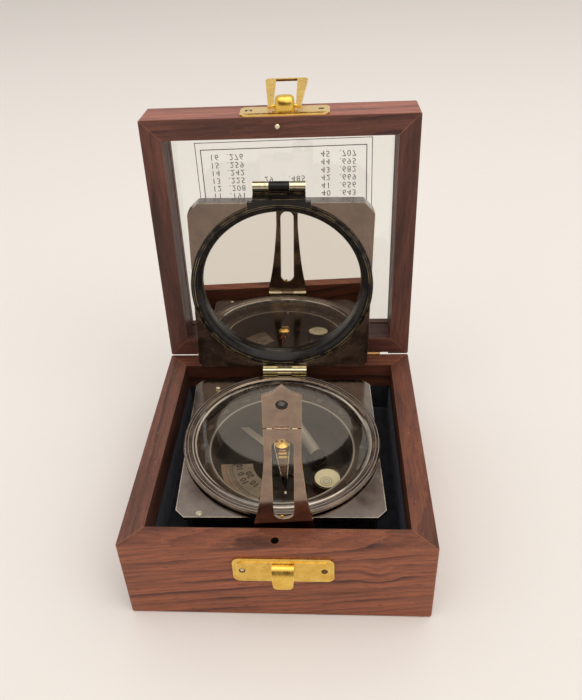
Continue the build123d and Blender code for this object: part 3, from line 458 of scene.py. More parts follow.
blackened = enamel("Black lacquer on brass", "14110f", "201b18", "c2a878", (0.16, 0.3),
                   0.2 * MM)
black_inside = enamel("Black lacquer inside the bowl", "15110e", "241d18", "5a4632",
                      (0.28, 0.5), 0.2 * MM)
ring_black = enamel("Darkened dial ring", "3b322c", "40372f", "8f857a", (0.22, 0.28),
                    0.3 * MM)
print("dark finishes", blackened.name, black_inside.name, ring_black.name)

# %% [markdown]
# ## Glass
# The lid's pane and the compass crystal are clear float glass, the crystal a little yellower.
# A renderer would keep the dial in the dark under them, because glass throws a full shadow
# there. So shadow rays meet a transparent shader instead, and all others real glass.

# %% Glass
def clear_glass(name, tint):
    """Glass that lets the light through to what lies below."""
    material, tree, shader = new_finish(name, {
        "Base Color": linear(tint), "Roughness": 0.0, "IOR": 1.5, "Transmission Weight": 1.0})
    shadow = add(tree, "LightPath").outputs["Is Shadow Ray"]
    through = add(tree, "BsdfTransparent", {"Color": linear(tint)}).outputs[0]
    mixed = add(tree, "MixShader", {0: shadow, 1: shader.outputs[0], 2: through})
    tree.links.new(mixed.outputs[0], tree.nodes["Material Output"].inputs["Surface"])
    return material


window = clear_glass("Clear float glass", "f5f6f3")
crystal_glass = clear_glass("Old crystal glass", "f5f0e9")
print("glass", window.name, "and", crystal_glass.name)

# %% [markdown]
# ## A finish for every CAD piece
# The record says what each piece is made of, so a whole group gets its finish in one go.
# Pieces that differ from their group follow, such as the grey top plate and the dull nails.

# %% Finishes on the pieces
by_slot = {}
for part in frame["record"]["subparts"]:
    by_slot.setdefault(part["material_slot"], []).append(part["node"])
finish_of = {
    "clear_glass": window, "bright_brass": lacquered, "aged_brass": darkened,
    "pale_brass": bare, "blackened": blackened, "steel": steel, "mirror_glass": mirror_silver,
}
for slot_name, material in finish_of.items():
    paint(by_slot.get(slot_name, []), material)
paint(["crystal"], crystal_glass)
paint(["dial_floor", "clinometer_arm"], black_inside)
paint(["dial_ring"], ring_black)
paint(["sight_arm", "sight_tip", "tip_pin"], sheet_brown)
paint(["top_plate"], greyed)
paint(["lid_ring", "sight_block", "bull_cup"], blackened)
paint(["glass_bead"], silvery)
paint(["needle_hub"], gold)
paint(["base_catch_nails", "lid_clip_nails"], nail_brass)
paint(["butt_base_leaves", "butt_lid_leaves", "butt_pins", "butt_base_nails",
       "butt_lid_nails"], hinge_brass)
paint(["arm_bracket", "lifter_pin", "corner_plug", "closing_dowel"], bare)
print("pieces of each finish", {name: len(parts) for name, parts in by_slot.items()})

# %% [markdown]
# ## Placing new pieces
# The compass lies a little crooked on its pad and its lid stands open, so what is added to
# them is drawn flat, in millimetres, in the piece's own frame, and put in place by one matrix
# with the CAD model's angles. Each new piece rides on a body, so it moves with it.

# %% Placing tools
def turned_by(axis, degrees):
    return Matrix.Rotation(math.radians(degrees), 4, axis)


def moved_by(x, y, z):
    return Matrix.Translation(Vector((x, y, z)) * MM)


compass_frame = (moved_by(-0.45, 0.5, 32.3) @ turned_by("Z", 2.07) @ turned_by("X", 1.65)
                 @ turned_by("Y", 1.77))
lid_frame = moved_by(0, 52.55, 35.6) @ turned_by("X", -92.36) @ moved_by(0, -52.55, 0)
cover_frame = compass_frame @ moved_by(0, 38.35, 3.9) @ turned_by("X", -95.6)


def collect(parts):
    """Joins lists of points and faces into one."""
    points, faces = [], []
    for some_points, some_faces in parts:
        start = len(points)
        points.extend(some_points)
        faces.extend(tuple(i + start for i in face) for face in some_faces)
    return points, faces


def make_piece(name, parts, material, body, place=None, smooth=False):
    """One mesh piece out of drawings in millimetres in some frame, riding on a body."""
    points, faces = collect(parts)
    data = bpy.data.meshes.new(name)
    data.from_pydata([Vector(p) * MM for p in points], [], faces)
    if place is not None:
        data.transform(place)
    data.validate()
    if smooth:
        data.shade_smooth()
    else:
        data.shade_flat()
    data.materials.append(material)
    piece = bpy.data.objects.new(name, data)
    bpy.context.scene.collection.objects.link(piece)
    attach(piece, body)
    return piece


def shifted(part, x, y, z):
    """Moves a drawing."""
    return [(px + x, py + y, pz + z) for px, py, pz in part[0]], part[1]


def grid_faces(columns, rows, flipped=False):
    """Quads between points that are listed row by row."""
    wide = columns + 1
    starts = [j * wide + i for j in range(rows) for i in range(columns)]
    quads = [(a, a + 1, a + wide + 1, a + wide) for a in starts]
    return [quad[::-1] for quad in quads] if flipped else quads


print("compass at", [round(v / MM, 2) for v in compass_frame.translation])

# %% [markdown]
# ## Velvet
# The well is lined with dark blue cotton velvet. Velvet looks black where one looks along the
# pile and gives a pale sheen at a grazing angle, which is what the sheen setting does. The
# nap lies differently in patches of about 4 mm, and a bump has tufts of 0.3 mm.

# %% Velvet
velvet, velvet_tree, velvet_shader = new_finish("Navy cotton velvet", {
    "Roughness": 0.95, "Sheen Weight": 0.7, "Sheen Roughness": 0.4,
    "Sheen Tint": linear("6a6c78")})
nap = blotches(velvet_tree, place_pattern(velvet_tree), 260.0, 4.0)
tuft = blotches(velvet_tree, place_pattern(velvet_tree), 3500.0)
feed(velvet_tree, velvet_shader, {
    "Base Color": ramp(velvet_tree, nap, (0.35, "131318"), (0.65, "25262d")),
    "Normal": relief(velvet_tree, tuft, 0.2 * MM, 0.8)})
print("velvet sheen", velvet_shader.inputs["Sheen Weight"].default_value)

# %% [markdown]
# ## The pad under the compass
# The pad is padded cloth that fills the well's floor. It lies flat beneath the compass, which
# rests on it a little crooked, dips at the compass's edge, puffs up beside it and rolls down
# at the walls. A simulation could make it, but a height over a grid is exact and always the
# same. A skirt and a flat underside close it.

# %% Pad
WELL = 44.5
FLOOR_TOP = 4.5
PAD_TOP = -18.65
PAD_SINK = 0.35
PAD_STEPS = 64
PAD_SIDE = WELL - 0.75
COMPASS_HALF = 35.0


def pad_plane(x, y):
    """Height of the sloping plane that the compass lies on, above the box's underside."""
    normal = compass_frame.to_3x3() @ Vector((0, 0, 1))
    point = compass_frame @ (Vector((0, 0, PAD_TOP)) * MM) / MM
    return point.z - (normal.x * (x - point.x) + normal.y * (y - point.y)) / normal.z


def pad_height(x, y):
    """Height of the pad's top."""
    local = compass_frame.inverted() @ (Vector((x, y, 20)) * MM) / MM
    out = max(abs(local.x), abs(local.y)) - COMPASS_HALF
    edge = PAD_SIDE - max(abs(x), abs(y))
    puff = 0.12 - 0.25 * math.exp(-out / 2.0) + 0.12 * noise.noise(Vector((x, y, 3.0)) * 0.16)
    roll = -1.1 * math.exp(-edge / 0.8)
    return pad_plane(x, y) - PAD_SINK + (0.0 if out < 0 else puff) + roll


ticks = [-PAD_SIDE + 2 * PAD_SIDE * i / PAD_STEPS for i in range(PAD_STEPS + 1)]
pad_points = [(x, y, pad_height(x, y)) for y in ticks for x in ticks]
pad_faces = grid_faces(PAD_STEPS, PAD_STEPS)
row = PAD_STEPS + 1
rim_order = (list(range(row)) + [j * row + PAD_STEPS for j in range(1, row)]
             + [PAD_STEPS * row + i for i in range(PAD_STEPS - 1, -1, -1)]
             + [j * row for j in range(PAD_STEPS - 1, 0, -1)])
count, low_start = len(rim_order), len(pad_points)
pad_points += [(pad_points[i][0], pad_points[i][1], FLOOR_TOP) for i in rim_order]
for k in range(count):
    n = (k + 1) % count
    pad_faces.append((rim_order[k], low_start + k, low_start + n, rim_order[n]))
pad_faces.append(tuple(low_start + k for k in range(count - 1, -1, -1)))
pad = make_piece("velvet_pad", [(pad_points, pad_faces)], velvet, "base", smooth=True)
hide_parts("floor_pad")
print("pad points", len(pad_points))

# %% [markdown]
# ## The lining of the walls
# One strip of velvet is glued round the four walls, from the floor up to 24 mm. It is 19.5 mm
# wide and as long as the well's four sides. The cloth has two faces 0.6 mm apart. The one
# that shows waves a little, and its upper edge rounds over.

# %% Lining
LINER_TOP = 24.0
LINER_BACK, LINER_FACE = 0.05, 0.62
LINER_COLUMNS, LINER_ROWS = 60, 10


def liner_face(quarter, depth, shown):
    """One face of the cloth along one wall."""
    spin = Matrix.Rotation(math.pi / 2 * quarter, 3, "Z")
    run = WELL - 0.1 - (depth if shown else 0.0)
    points = []
    for j in range(LINER_ROWS + 1):
        z = FLOOR_TOP + (LINER_TOP - FLOOR_TOP) * j / LINER_ROWS
        for i in range(LINER_COLUMNS + 1):
            x = -run + 2 * run * i / LINER_COLUMNS
            y = -WELL + depth
            if shown:
                y -= 0.35 * math.exp(-(LINER_TOP - z) / 0.5)
                y += 0.07 * noise.noise(Vector((x * 0.12 + 9 * quarter, z * 0.1, 1.0)))
            points.append(tuple(spin @ Vector((x, y, z))))
    return points, grid_faces(LINER_COLUMNS, LINER_ROWS, flipped=not shown)


liner_faces = [liner_face(quarter, depth, shown) for quarter in range(4)
               for depth, shown in ((LINER_BACK, False), (LINER_FACE, True))]
liner = make_piece("velvet_liner", liner_faces, velvet, "base", smooth=True)
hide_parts("wall_liner")
print("faces of the cloth", len(liner_faces))

# %% [markdown]
# ## Printed table on the pane
# A table of sines is printed in black on the inside of the lid's glass: a double rule round
# three pairs of columns, an angle and its sine. It reads the right way through the shut lid,
# and as a mirror image on its head from inside the open one. The rows are 3.25 mm apart, the
# print sits half a degree askew, and the ink has thinned in patches. The figures are meshes
# made from a font, so that they stay sharp and need no image.

# %% Printed table
PRINT_LEVEL = 12.17
ROW_STEP = 3.25
LAST_ROW = -33.6
FIGURE = 2.5
COLUMN_PAIRS = ((1, 16, -24.8, -14.9), (17, 13, -3.5, 9.4), (30, 16, 19.4, 29.7))
RULES = ((-34.0, 36.0, -38.6, 24.5, 0.28), (-32.0, 33.9, -35.8, 22.0, 0.36))


def worn_ink(name, deep, faint):
    """Screen printing ink that has thinned out in patches."""
    material, tree, shader = new_finish(name, {"Roughness": 0.55})
    wear = blotches(tree, place_pattern(tree), 900.0, 3.0)
    feed(tree, shader, {"Base Color": ramp(tree, wear, (0.3, deep), (0.7, faint))})
    return material


def lettering(text, height, x, y, z, align="LEFT", bold=0.0, wide=1.0):
    """Points and faces of a flat line of characters, in millimetres."""
    curve = bpy.data.curves.new("line", "FONT")
    curve.body = text
    curve.size = height / 0.72
    curve.align_x = align
    curve.resolution_u = 2
    curve.offset = bold
    curve.space_character = wide
    holder = bpy.data.objects.new("line", curve)
    mesh = holder.to_mesh()
    points = [(v.co.x + x, v.co.y + y, z) for v in mesh.vertices]
    faces = [tuple(p.vertices) for p in mesh.polygons]
    holder.to_mesh_clear()
    bpy.data.objects.remove(holder)
    bpy.data.curves.remove(curve)
    return points, faces


def flat_bar(x0, x1, y0, y1, z):
    return [(x0, y0, z), (x1, y0, z), (x1, y1, z), (x0, y1, z)], [(0, 1, 2, 3)]


ink = worn_ink("Thin black screen printing ink", "7d7974", "a8a49e")
rule_ink = worn_ink("Black screen printing ink", "55524f", "807d78")
figures, rules = [], []
for first, total, x_angle, x_sine in COLUMN_PAIRS:
    for k in range(total):
        angle = first + k
        sine = f"{math.sin(math.radians(angle)):.3f}"[1:]
        for text, x in ((str(angle), x_angle), (sine, x_sine)):
            figures.append(lettering(text, FIGURE, x, LAST_ROW + ROW_STEP * (15 - k),
                                     PRINT_LEVEL, "RIGHT", wide=1.15))
for x0, x1, y0, y1, width in RULES:
    for bar in ((x0, x1, y0, y0 + width), (x0, x1, y1 - width, y1),
                (x0, x0 + width, y0, y1), (x1 - width, x1, y0, y1)):
        rules.append(flat_bar(*bar, PRINT_LEVEL))
print_frame = lid_frame @ moved_by(0, -1.5, 0) @ turned_by("Z", -0.55)
make_piece("printed_table", figures, ink, "box_lid", print_frame)
make_piece("printed_rules", rules, rule_ink, "box_lid", print_frame)
print("printed figures", len(figures))

# %% [markdown]
# ## Dial
# The dial ring is engraved with a line for each degree, a longer one at every fifth, and a
# plain number every 20 degrees, all filled with grey. Its inner edge is turned bright and
# gets a painted highlight: a pale grey strip, only partly metallic, so it shows from any
# angle. Real grooves would need a heavy mesh, so these are flat strips that lie just over the
# ring.

# %% Dial marks
DIAL_LEVEL = -3.48
DIAL_IN = 27.3
EDGE_IN, EDGE_OUT = DIAL_IN + 0.25, DIAL_IN + 0.85
LIFT = 0.02


def ring_strip(inner, outer, z, first=0.0, last=360.0, steps=180):
    """A flat strip round the middle, between two radii and two bearings."""
    points, faces = [], []
    for k in range(steps + 1):
        a = math.radians(first + (last - first) * k / steps)
        points += [(r * math.cos(a), r * math.sin(a), z) for r in (inner, outer)]
        if k < steps:
            faces.append((2 * k, 2 * k + 1, 2 * k + 3, 2 * k + 2))
    return points, faces


def spoke(inner, outer, bearing, width, z):
    """A thin line that points away from the middle."""
    a = math.radians(bearing)
    along = Vector((math.cos(a), math.sin(a)))
    across = Vector((-math.sin(a), math.cos(a))) * width / 2
    corners = [along * inner - across, along * outer - across,
               along * outer + across, along * inner + across]
    return [(c.x, c.y, z) for c in corners], [(0, 1, 2, 3)]


def turned_text(text, height, radius, bearing, z, spin, bold=0.0):
    """A short number at a bearing, turned about its own middle."""
    points, faces = lettering(text, height, 0, 0, z, "CENTER", bold)
    middle = Matrix.Rotation(math.radians(bearing), 3, "Z") @ Vector((radius, 0, 0))
    place = Matrix.Rotation(math.radians(bearing + spin), 3, "Z")
    return [tuple(place @ Vector((x, y - height / 2, 0)) + middle + Vector((0, 0, z)))
            for x, y, _ in points], faces


silver_fill = plain_finish("Silver-grey engraving fill", "6f675d", 0.5)
# Black wax in engraved lines, and painted shade in grooves, gaps and holes.
black_wax_and_shade = plain_finish("Black engraving wax and painted shade", "1a1714", 0.5)
# A pale grey, partly metallic finish for turned edges, with a painted highlight: it looks bright
# from any angle.
turned_edge_highlight = plain_finish("Turned edge with painted highlight", "a39d92", 0.34, {"Metallic": 0.4})
marks = [spoke(EDGE_OUT, DIAL_IN + (1.5 if degree % 5 else 2.0), degree, 0.08, DIAL_LEVEL)
         for degree in range(360)]
marks += [turned_text(str(degree), 1.7, DIAL_IN + 3.5, degree, DIAL_LEVEL, -90)
          for degree in range(0, 360, 20)]
make_piece("dial_marks", marks, silver_fill, "compass", compass_frame)
make_piece("dial_bright_edge", [ring_strip(EDGE_IN, EDGE_OUT, DIAL_LEVEL + LIFT)],
           turned_edge_highlight, "compass", compass_frame)
print("dial marks", len(marks))

# %% [markdown]
# ## Vernier
# The clinometer's arm carries a sector of brushed brass, grey inside and paler along its rim,
# with a link that runs back to the arm. Black lines 2.4 degrees apart and plain figures are
# cut into it, and a dark pointer crosses it. It is half hidden by the crystal's reflections,
# so flat pieces with crisp edges do better here than relief.

# %% Vernier
SECTOR = -12.52
LINE_LEVEL = SECTOR + LIFT
POINTER = SECTOR + 0.1
FIRST, LAST = 182.0, 244.0
FACE_IN, FACE_OUT, RIM_OUT = 11.6, 21.4, 24.2
SCALE_IN = 19.7
beige = metal("Brushed pale vernier brass", ("9a8571", "ac9a86"), "d8c8ac", (0.35, 0.55),
              2 * MM, 0.1 * MM, 0.3)
grey_brass = metal("Brushed grey vernier brass", ("8a8172", "a0978a"), "d8c8ac", (0.35, 0.55),
                   2 * MM, 0.1 * MM, 0.3)


def flat_shape(corners, z, order):
    """A flat polygon through some corners."""
    return [(x, y, z) for x, y in corners], [order]


face = ring_strip(FACE_IN, FACE_OUT, SECTOR, FIRST, LAST, 40)
rim = ring_strip(FACE_OUT, RIM_OUT, SECTOR, FIRST, LAST, 40)
link = flat_shape(((-17.9, 19.9), (-14.5, 20.5), (-5.5, 11.5), (-5.5, 7.0), (-8.1, 9.8)),
                  SECTOR, (4, 3, 2, 1, 0))
make_piece("vernier_face", [face, link], grey_brass, "clinometer", compass_frame)
make_piece("vernier_rim", [rim], beige, "clinometer", compass_frame)
marks = [ring_strip(*radii, LINE_LEVEL, FIRST + 1, LAST - 1, 40)
         for radii in ((SCALE_IN, 19.85), (22.3, 22.42))]
marks += [spoke(SCALE_IN, 21.2 if k % 5 else 22.3, 209.0 + 2.4 * k, 0.16, LINE_LEVEL)
          for k in range(-10, 11)]
marks += [turned_text(text, 2.5, radius, bearing, LINE_LEVEL, -90, 0.09)
          for text, radius, bearing in (("10", 17.0, 188.0), ("0", 17.2, 200.0),
                                        ("10", 17.4, 213.0), ("20", 14.2, 206.0),
                                        ("10", 15.2, 226.0))]
marks.append(flat_shape(((-19.4, -1.5), (-8.0, 3.9), (-8.0, 4.6), (-19.4, -0.95)),
                        POINTER, (0, 1, 2, 3)))
make_piece("vernier_marks", marks, black_wax_and_shade, "clinometer", compass_frame)
print("vernier marks", len(marks))

# %% [markdown]
# ## Levels
# The round level is a cup of pale green liquid under glass, with three thin rings and a bubble
# in the middle of them. The tube level holds the same liquid, painted an opaque grey that also
# stands in for the pale reflection along its glass. Real liquid under two curved glasses would
# mostly add noise, so both are glossy paint, and the round one has a very faint painted glow.
# The bubble is a shallow dome.

# %% Levels
BULL_TOP = -7.85
BULL_X, BULL_Y = 16.7, -13.7


def dome(radius, height, rings=5, sides=20):
    """A shallow cap on z = 0."""
    points, faces = [(0.0, 0.0, height)], []
    for r in range(1, rings + 1):
        a = math.pi / 2 * r / rings
        for k in range(sides):
            b = 2 * math.pi * k / sides
            points.append((radius * math.sin(a) * math.cos(b),
                           radius * math.sin(a) * math.sin(b), height * math.cos(a)))
    faces += [(0, 1 + k, 1 + (k + 1) % sides) for k in range(sides)]
    for r in range(1, rings):
        for k in range(sides):
            a, b = 1 + (r - 1) * sides + k, 1 + (r - 1) * sides + (k + 1) % sides
            faces.append((a, a + sides, b + sides, b))
    return points, faces


# The faint emission is a painted glow.
level_liquid = plain_finish("Pale level liquid with painted glow", "d6d0b0", 0.25, {
    "Coat Weight": 1.0, "Coat Roughness": 0.03,
    "Emission Color": linear("e8ecc0"), "Emission Strength": 0.06})
# Opaque grey paint: the spirit, and a painted reflection in place of the tube's pale glass.
tube_spirit_and_reflection = plain_finish("Spirit in a glass tube with painted reflection", "7c786c", 0.12, {
    "Coat Weight": 1.0, "Coat Roughness": 0.03})
bubble = plain_finish("Air bubble", "f8f8ea", 0.05, {
    "Coat Weight": 1.0, "Transmission Weight": 0.4})
level_ink = plain_finish("Olive level ring", "4e4f38", 0.4)
paint(["bull_vial"], level_liquid)
paint(["tube_level"], tube_spirit_and_reflection)
rings = [shifted(ring_strip(r, r + 0.2, 0, steps=40), BULL_X, BULL_Y, BULL_TOP + 0.05)
         for r in (0.55, 1.1, 2.0)]
make_piece("level_rings", rings, level_ink, "clinometer", compass_frame)
make_piece("level_bubble", [shifted(dome(1.05, 0.18), BULL_X, BULL_Y, BULL_TOP + 0.04)],
           bubble, "clinometer", compass_frame, smooth=True)
print("level rings", len(rings))

# %% [markdown]
# ## Needle, hub and flange
# The needle has a red index on one half, and on the other three gilt arcs near the hub, a
# painted reflection of the hub in the blade, and a pale tip, a painted highlight. Its hub and
# the flange round the bowl were turned on a lathe, which leaves fine lines: dark grooves on the
# hub, drawn as painted shade, and two bright lines on the flange, turned lines with a painted
# highlight, broken off where the hinge sits. The dark middle of the hub's top is painted shade
# as well. All are thin strips on the metal, as grooves 0.15 mm wide are too fine for the CAD
# model.

# %% Needle and turned lines
NEEDLE = 93.8
TAIL = NEEDLE - 180
NEEDLE_LEVEL = -2.68
HUB_OUT, HUB_TOP = 2.85, -0.5
FLANGE_TOP = 2.42
HINGE_END, HINGE_START = 106, 434
GROOVE = 0.16


def turned_band(radius, low, high, sides=32):
    """A thin ring standing on its edge."""
    points, faces = [], []
    for k in range(sides):
        a = 2 * math.pi * k / sides
        points += [(radius * math.cos(a), radius * math.sin(a), z) for z in (low, high)]
        n = (k + 1) % sides
        faces.append((2 * k, 2 * n, 2 * n + 1, 2 * k + 1))
    return points, faces


red_paint = plain_finish("Red index paint", "9c2a22", 0.4)
hub_reflection_gold = plain_finish("Painted hub reflection", "d8b76a", 0.4, {"Metallic": 0.5})
# A pale, partly metallic strip: a painted highlight.
painted_shine = plain_finish("Painted bright shine", "ece4d4", 0.35, {"Metallic": 0.3})
index = [spoke(3.9, 6.9, NEEDLE + lean, 0.5, NEEDLE_LEVEL) for lean in (-10, 10)]
make_piece("needle_index", index, red_paint, "needle", compass_frame)
# Painted shade: two dark grooves round the hub, and a dark disc and ring on its top.
grooves = [turned_band(HUB_OUT + LIFT, low, low + GROOVE) for low in (-2.45, -1.95)]
grooves += [ring_strip(*radii, HUB_TOP + LIFT, steps=24) for radii in ((0.0, 0.62), (1.1, 1.24))]
make_piece("hub_grooves", grooves, black_wax_and_shade, "needle", compass_frame)
# Painted reflection of the gilt hub in the blade: three gold arcs near the hub.
hub_reflections = [ring_strip(inner, outer, NEEDLE_LEVEL + LIFT, TAIL - half, TAIL + half, 12)
           for inner, outer, half in ((2.6, 3.3, 26), (3.9, 5.0, 20), (5.8, 6.9, 14))]
make_piece("needle_hub_reflections", hub_reflections, hub_reflection_gold, "needle", compass_frame)
# Painted highlight on the needle's tail tip.
make_piece("needle_tip_shine", [spoke(23.2, 24.3, TAIL, 0.7, NEEDLE_LEVEL + LIFT)],
           painted_shine, "needle", compass_frame)
# Two bright lines on the flange: turned lines with a painted highlight.
turned = [ring_strip(r, r + 0.18, FLANGE_TOP, HINGE_END, HINGE_START) for r in (35.8, 36.9)]
make_piece("flange_lines", turned, turned_edge_highlight, "compass", compass_frame)
print("grooves", len(grooves), "hub_reflections", len(hub_reflections), "flange lines", len(turned))

# %% [markdown]
# ## Front sight
# The slotted arm stands up in front, and its head folds on a small pin whose ends show beside
# the barrel. The slot's round end carries a painted highlight, a small screw head sits at its
# foot, and a black eyepiece ring lines the peep hole. The arm leans 3.1 degrees, so its details
# are drawn in a frame of their own, and flat drawings are stood up to face the front.

# %% Sight arm details
FOLD_Y, FOLD_Z = -1.83, 49.6
SHEET_FRONT = -1.8
SLOT_END, SLOT_RADIUS = 9.7, 3.4
PEEP_Y, PEEP_Z = -1.3, 59.3
arm_frame = compass_frame @ moved_by(1.3, -41.75, 1.8) @ turned_by("X", 3.1)


def bar_along_x(radius, x0, x1, y, z, sides=10):
    """A round bar from x0 to x1."""
    points, faces = [], []
    for k in range(sides):
        a = 2 * math.pi * k / sides
        points += [(x, y + radius * math.cos(a), z + radius * math.sin(a)) for x in (x0, x1)]
        n = (k + 1) % sides
        faces.append((2 * k, 2 * k + 1, 2 * n + 1, 2 * n))
    faces.append(tuple(2 * k for k in range(sides - 1, -1, -1)))
    faces.append(tuple(2 * k + 1 for k in range(sides)))
    return points, faces


def stood(part, y, z):
    """Stands a flat drawing up, so that it faces the front at depth y."""
    points, faces = part
    return [(px, y - pz, z + py) for px, py, pz in points], faces


pins = [bar_along_x(0.16, *ends, FOLD_Y, FOLD_Z) for ends in ((-4.5, -2.9), (2.9, 4.5))]
make_piece("fold_pin_ends", pins, bare, "front_sight", arm_frame)
# Painted highlight along the slot's round end.
slot_rim = ring_strip(SLOT_RADIUS - 0.28, SLOT_RADIUS - 0.01, 0.0, 203, 337, 24)
make_piece("slot_rim_shine", [stood(slot_rim, SHEET_FRONT + 0.05, SLOT_END)],
           painted_shine, "front_sight", arm_frame)
screw = stood(shifted(dome(0.62, 0.3), -0.6, 0, 0), -1.25, 7.05)
make_piece("arm_screw_head", [screw], gold, "front_sight", arm_frame,
           smooth=True)
eye = stood(ring_strip(0.95, 1.86, 0, steps=32), PEEP_Y, PEEP_Z)
make_piece("peep_eyepiece", [eye], black_wax_and_shade, "sight_head", arm_frame)
print("fold pin ends", len(pins))

# %% [markdown]
# ## Knurled rim
# The turned ring round the mirror has a fine knurled edge, rubbed bright, so that a wet thumb
# can lift the lid. A knurling wheel presses it in on the lathe. Here it is a band whose
# points step in and out by 0.12 mm, 260 times round. It leaves out the side of the hinge and
# the place of the sight block.

# %% Knurling
KNURLS = 260
KNURL_DEPTH = 0.12
RIM, RIM_LOW, RIM_HIGH = 36.42, 0.95, 1.6
RIM_MIDDLE = -38.6
LEFT_OUT = ((20, 160), (248, 292))
points, faces = [], []
for k in range(2 * KNURLS):
    a = math.pi * k / KNURLS
    r = RIM + (KNURL_DEPTH if k % 2 else 0.0)
    points += [(r * math.cos(a), r * math.sin(a) + RIM_MIDDLE, z) for z in (RIM_LOW, RIM_HIGH)]
for k in range(2 * KNURLS):
    bearing = math.degrees(math.pi * (k + 0.5) / KNURLS)
    if not any(low < bearing < high for low, high in LEFT_OUT):
        n = (k + 1) % (2 * KNURLS)
        faces.append((2 * k, 2 * n, 2 * n + 1, 2 * k + 1))
make_piece("knurled_rim", [(points, faces)], bare, "compass_lid", cover_frame)
print("knurl faces", len(faces))

# %% [markdown]
# ## Nails, shades and the slot behind the hinge
# The catch's plates are held by small domed nails, the left ones bright and the right ones
# dull. The clip's left nail sits in a hole that is too big for it, and the gap round it is
# painted shade. The hole for the dowel gets painted shade inside. Behind the right hinge's
# knuckles a strip of its leaf shows in the wood's slot.

# %% Nails and shades
catch_frame = moved_by(2.3, -52.5, 25.05) @ turned_by("X", 90)
clip_frame = lid_frame @ moved_by(2.3, -52.5, 6.25) @ turned_by("X", 90)
NAIL_OUT = 13.6
GAP = ((-1.3, 1.3, -1.1, -0.85), (-1.3, 1.3, 0.85, 1.1),
       (-1.3, -1.0, -1.1, 1.1), (1.0, 1.3, -1.1, 1.1))
DOWEL_X, DOWEL_Y = -0.2, -49.5


def block(x0, x1, y0, y1, z0, z1):
    """A closed box."""
    corners = ((x0, y0), (x1, y0), (x1, y1), (x0, y1))
    points = [(x, y, z) for z in (z0, z1) for x, y in corners]
    walls = [(k, (k + 1) % 4, (k + 1) % 4 + 4, k + 4) for k in range(4)]
    return points, walls + [(3, 2, 1, 0), (4, 5, 6, 7)]


make_piece("hinge_slot_back", [block(40.5, 43.8, 51.9, 52.3, 34.8, 35.5)], nail_brass,
           "base")
for name, place, body in (("catch", catch_frame, "base"), ("clip", clip_frame, "box_lid")):
    for hand, x, finish in (("left", -NAIL_OUT, bare), ("right", NAIL_OUT, nail_brass)):
        make_piece(name + "_nail_head_" + hand, [shifted(dome(0.72, 0.32), x, 0, 0.6)],
                   finish, body, place, smooth=True)
# Painted shade in the gap round the clip's left nail.
gap = [shifted(flat_bar(*bar, 0), -NAIL_OUT, 0, 0.88) for bar in GAP]
make_piece("clip_nail_gap", gap, black_wax_and_shade, "box_lid", clip_frame)
# Painted shade inside the hole for the dowel.
make_piece("dowel_hole_shade", [shifted(turned_band(1.37, 31.0, 35.45), DOWEL_X, DOWEL_Y, 0)],
           black_wax_and_shade, "base")
print("gap bars", len(gap))

# %% [markdown]
# ## The clip's domed cap
# The strap that rolls over the loop's axle is pressed into a soft pillow shape, higher in the
# middle than at its ends. The CAD model has the plain roll. The pillow is an arch swept along
# the axle whose height falls off like a rounded square. Dents of up to 3 percent make its
# highlight waver as on hand-pressed sheet.

# %% Clip cap
AXLE_Y, AXLE_Z = -0.25, 2.9
CAP_HALF = 3.72
ARCH_Y, ARCH_Z = 3.2, 3.5
COLUMNS, ARCH_STEPS = 16, 14
angles = [math.pi * k / ARCH_STEPS for k in range(ARCH_STEPS + 1)]
arch = [(ARCH_Y * math.cos(a), ARCH_Z * math.sin(a)) for a in angles]
outline = [(3.1, -2.15), (3.15, -1.0)] + arch + [(-3.2, -1.0), (-3.25, -2.15)]
points = []
for y, z in outline:
    for k in range(COLUMNS + 1):
        u = math.sin(math.pi * (k / COLUMNS - 0.5))
        pull = max(0.0, 1 - abs(u) ** 4) ** 0.25
        dent = 1 + 0.03 * noise.noise(Vector((3.4 * u, y, z)) * 0.8)
        height = z * pull * dent if z > 0 else z
        points.append((CAP_HALF * u, AXLE_Y + y * pull * dent, AXLE_Z + height))
make_piece("clip_dome", [(points, grid_faces(COLUMNS, len(outline) - 1))], lacquered,
           "box_lid", clip_frame, smooth=True)
print("cap points", len(points))

# %% [markdown]
# ## Floor
# The box stands on plain pale paper. Its colour gets a little greyer towards the back, which
# is painted shade for the light that falls off with distance. A separate backdrop would show
# as a line, so the floor is one large sheet and its tone changes along its depth. It belongs to
# the studio and not to the box.

# %% Floor
FLOOR_HALF = 4.0
FLOOR_GAP = 0.00002
data = bpy.data.meshes.new("floor")
data.from_pydata([(-FLOOR_HALF, -FLOOR_HALF, 0), (FLOOR_HALF, -FLOOR_HALF, 0),
                  (FLOOR_HALF, FLOOR_HALF, 0), (-FLOOR_HALF, FLOOR_HALF, 0)], [], [(0, 1, 2, 3)])
floor = bpy.data.objects.new("floor", data)
bpy.context.scene.collection.objects.link(floor)
paper, paper_tree, paper_shader = new_finish("Pale paper floor", {"Roughness": 0.85})
depth = add(paper_tree, "SeparateXYZ", {0: place_pattern(paper_tree)}).outputs["Y"]
# Painted shade: the paper gets greyer towards the back, as the light falls off.
painted_falloff = spread(paper_tree, depth, 0.2, 1.3, interpolation_type="SMOOTHSTEP")
feed(paper_tree, paper_shader, {
    "Base Color": blend(paper_tree, painted_falloff, linear("efe9e3"), "dcd6cf")})
data.materials.append(paper)
floor.location.z = cad_box[0][2] - FLOOR_GAP
print("floor at", floor.location.z)

# %% [markdown]
# ## Room and window
# The box stands in a soft white room, lit by one wide window beside the camera. Whoever takes
# the picture stands before the box and is a dark shape in its polished parts, which is what
# gives brass its contrast. It is a soft dark spot in the room's colour, there for reflected
# rays alone, so that the camera doesn't see it.

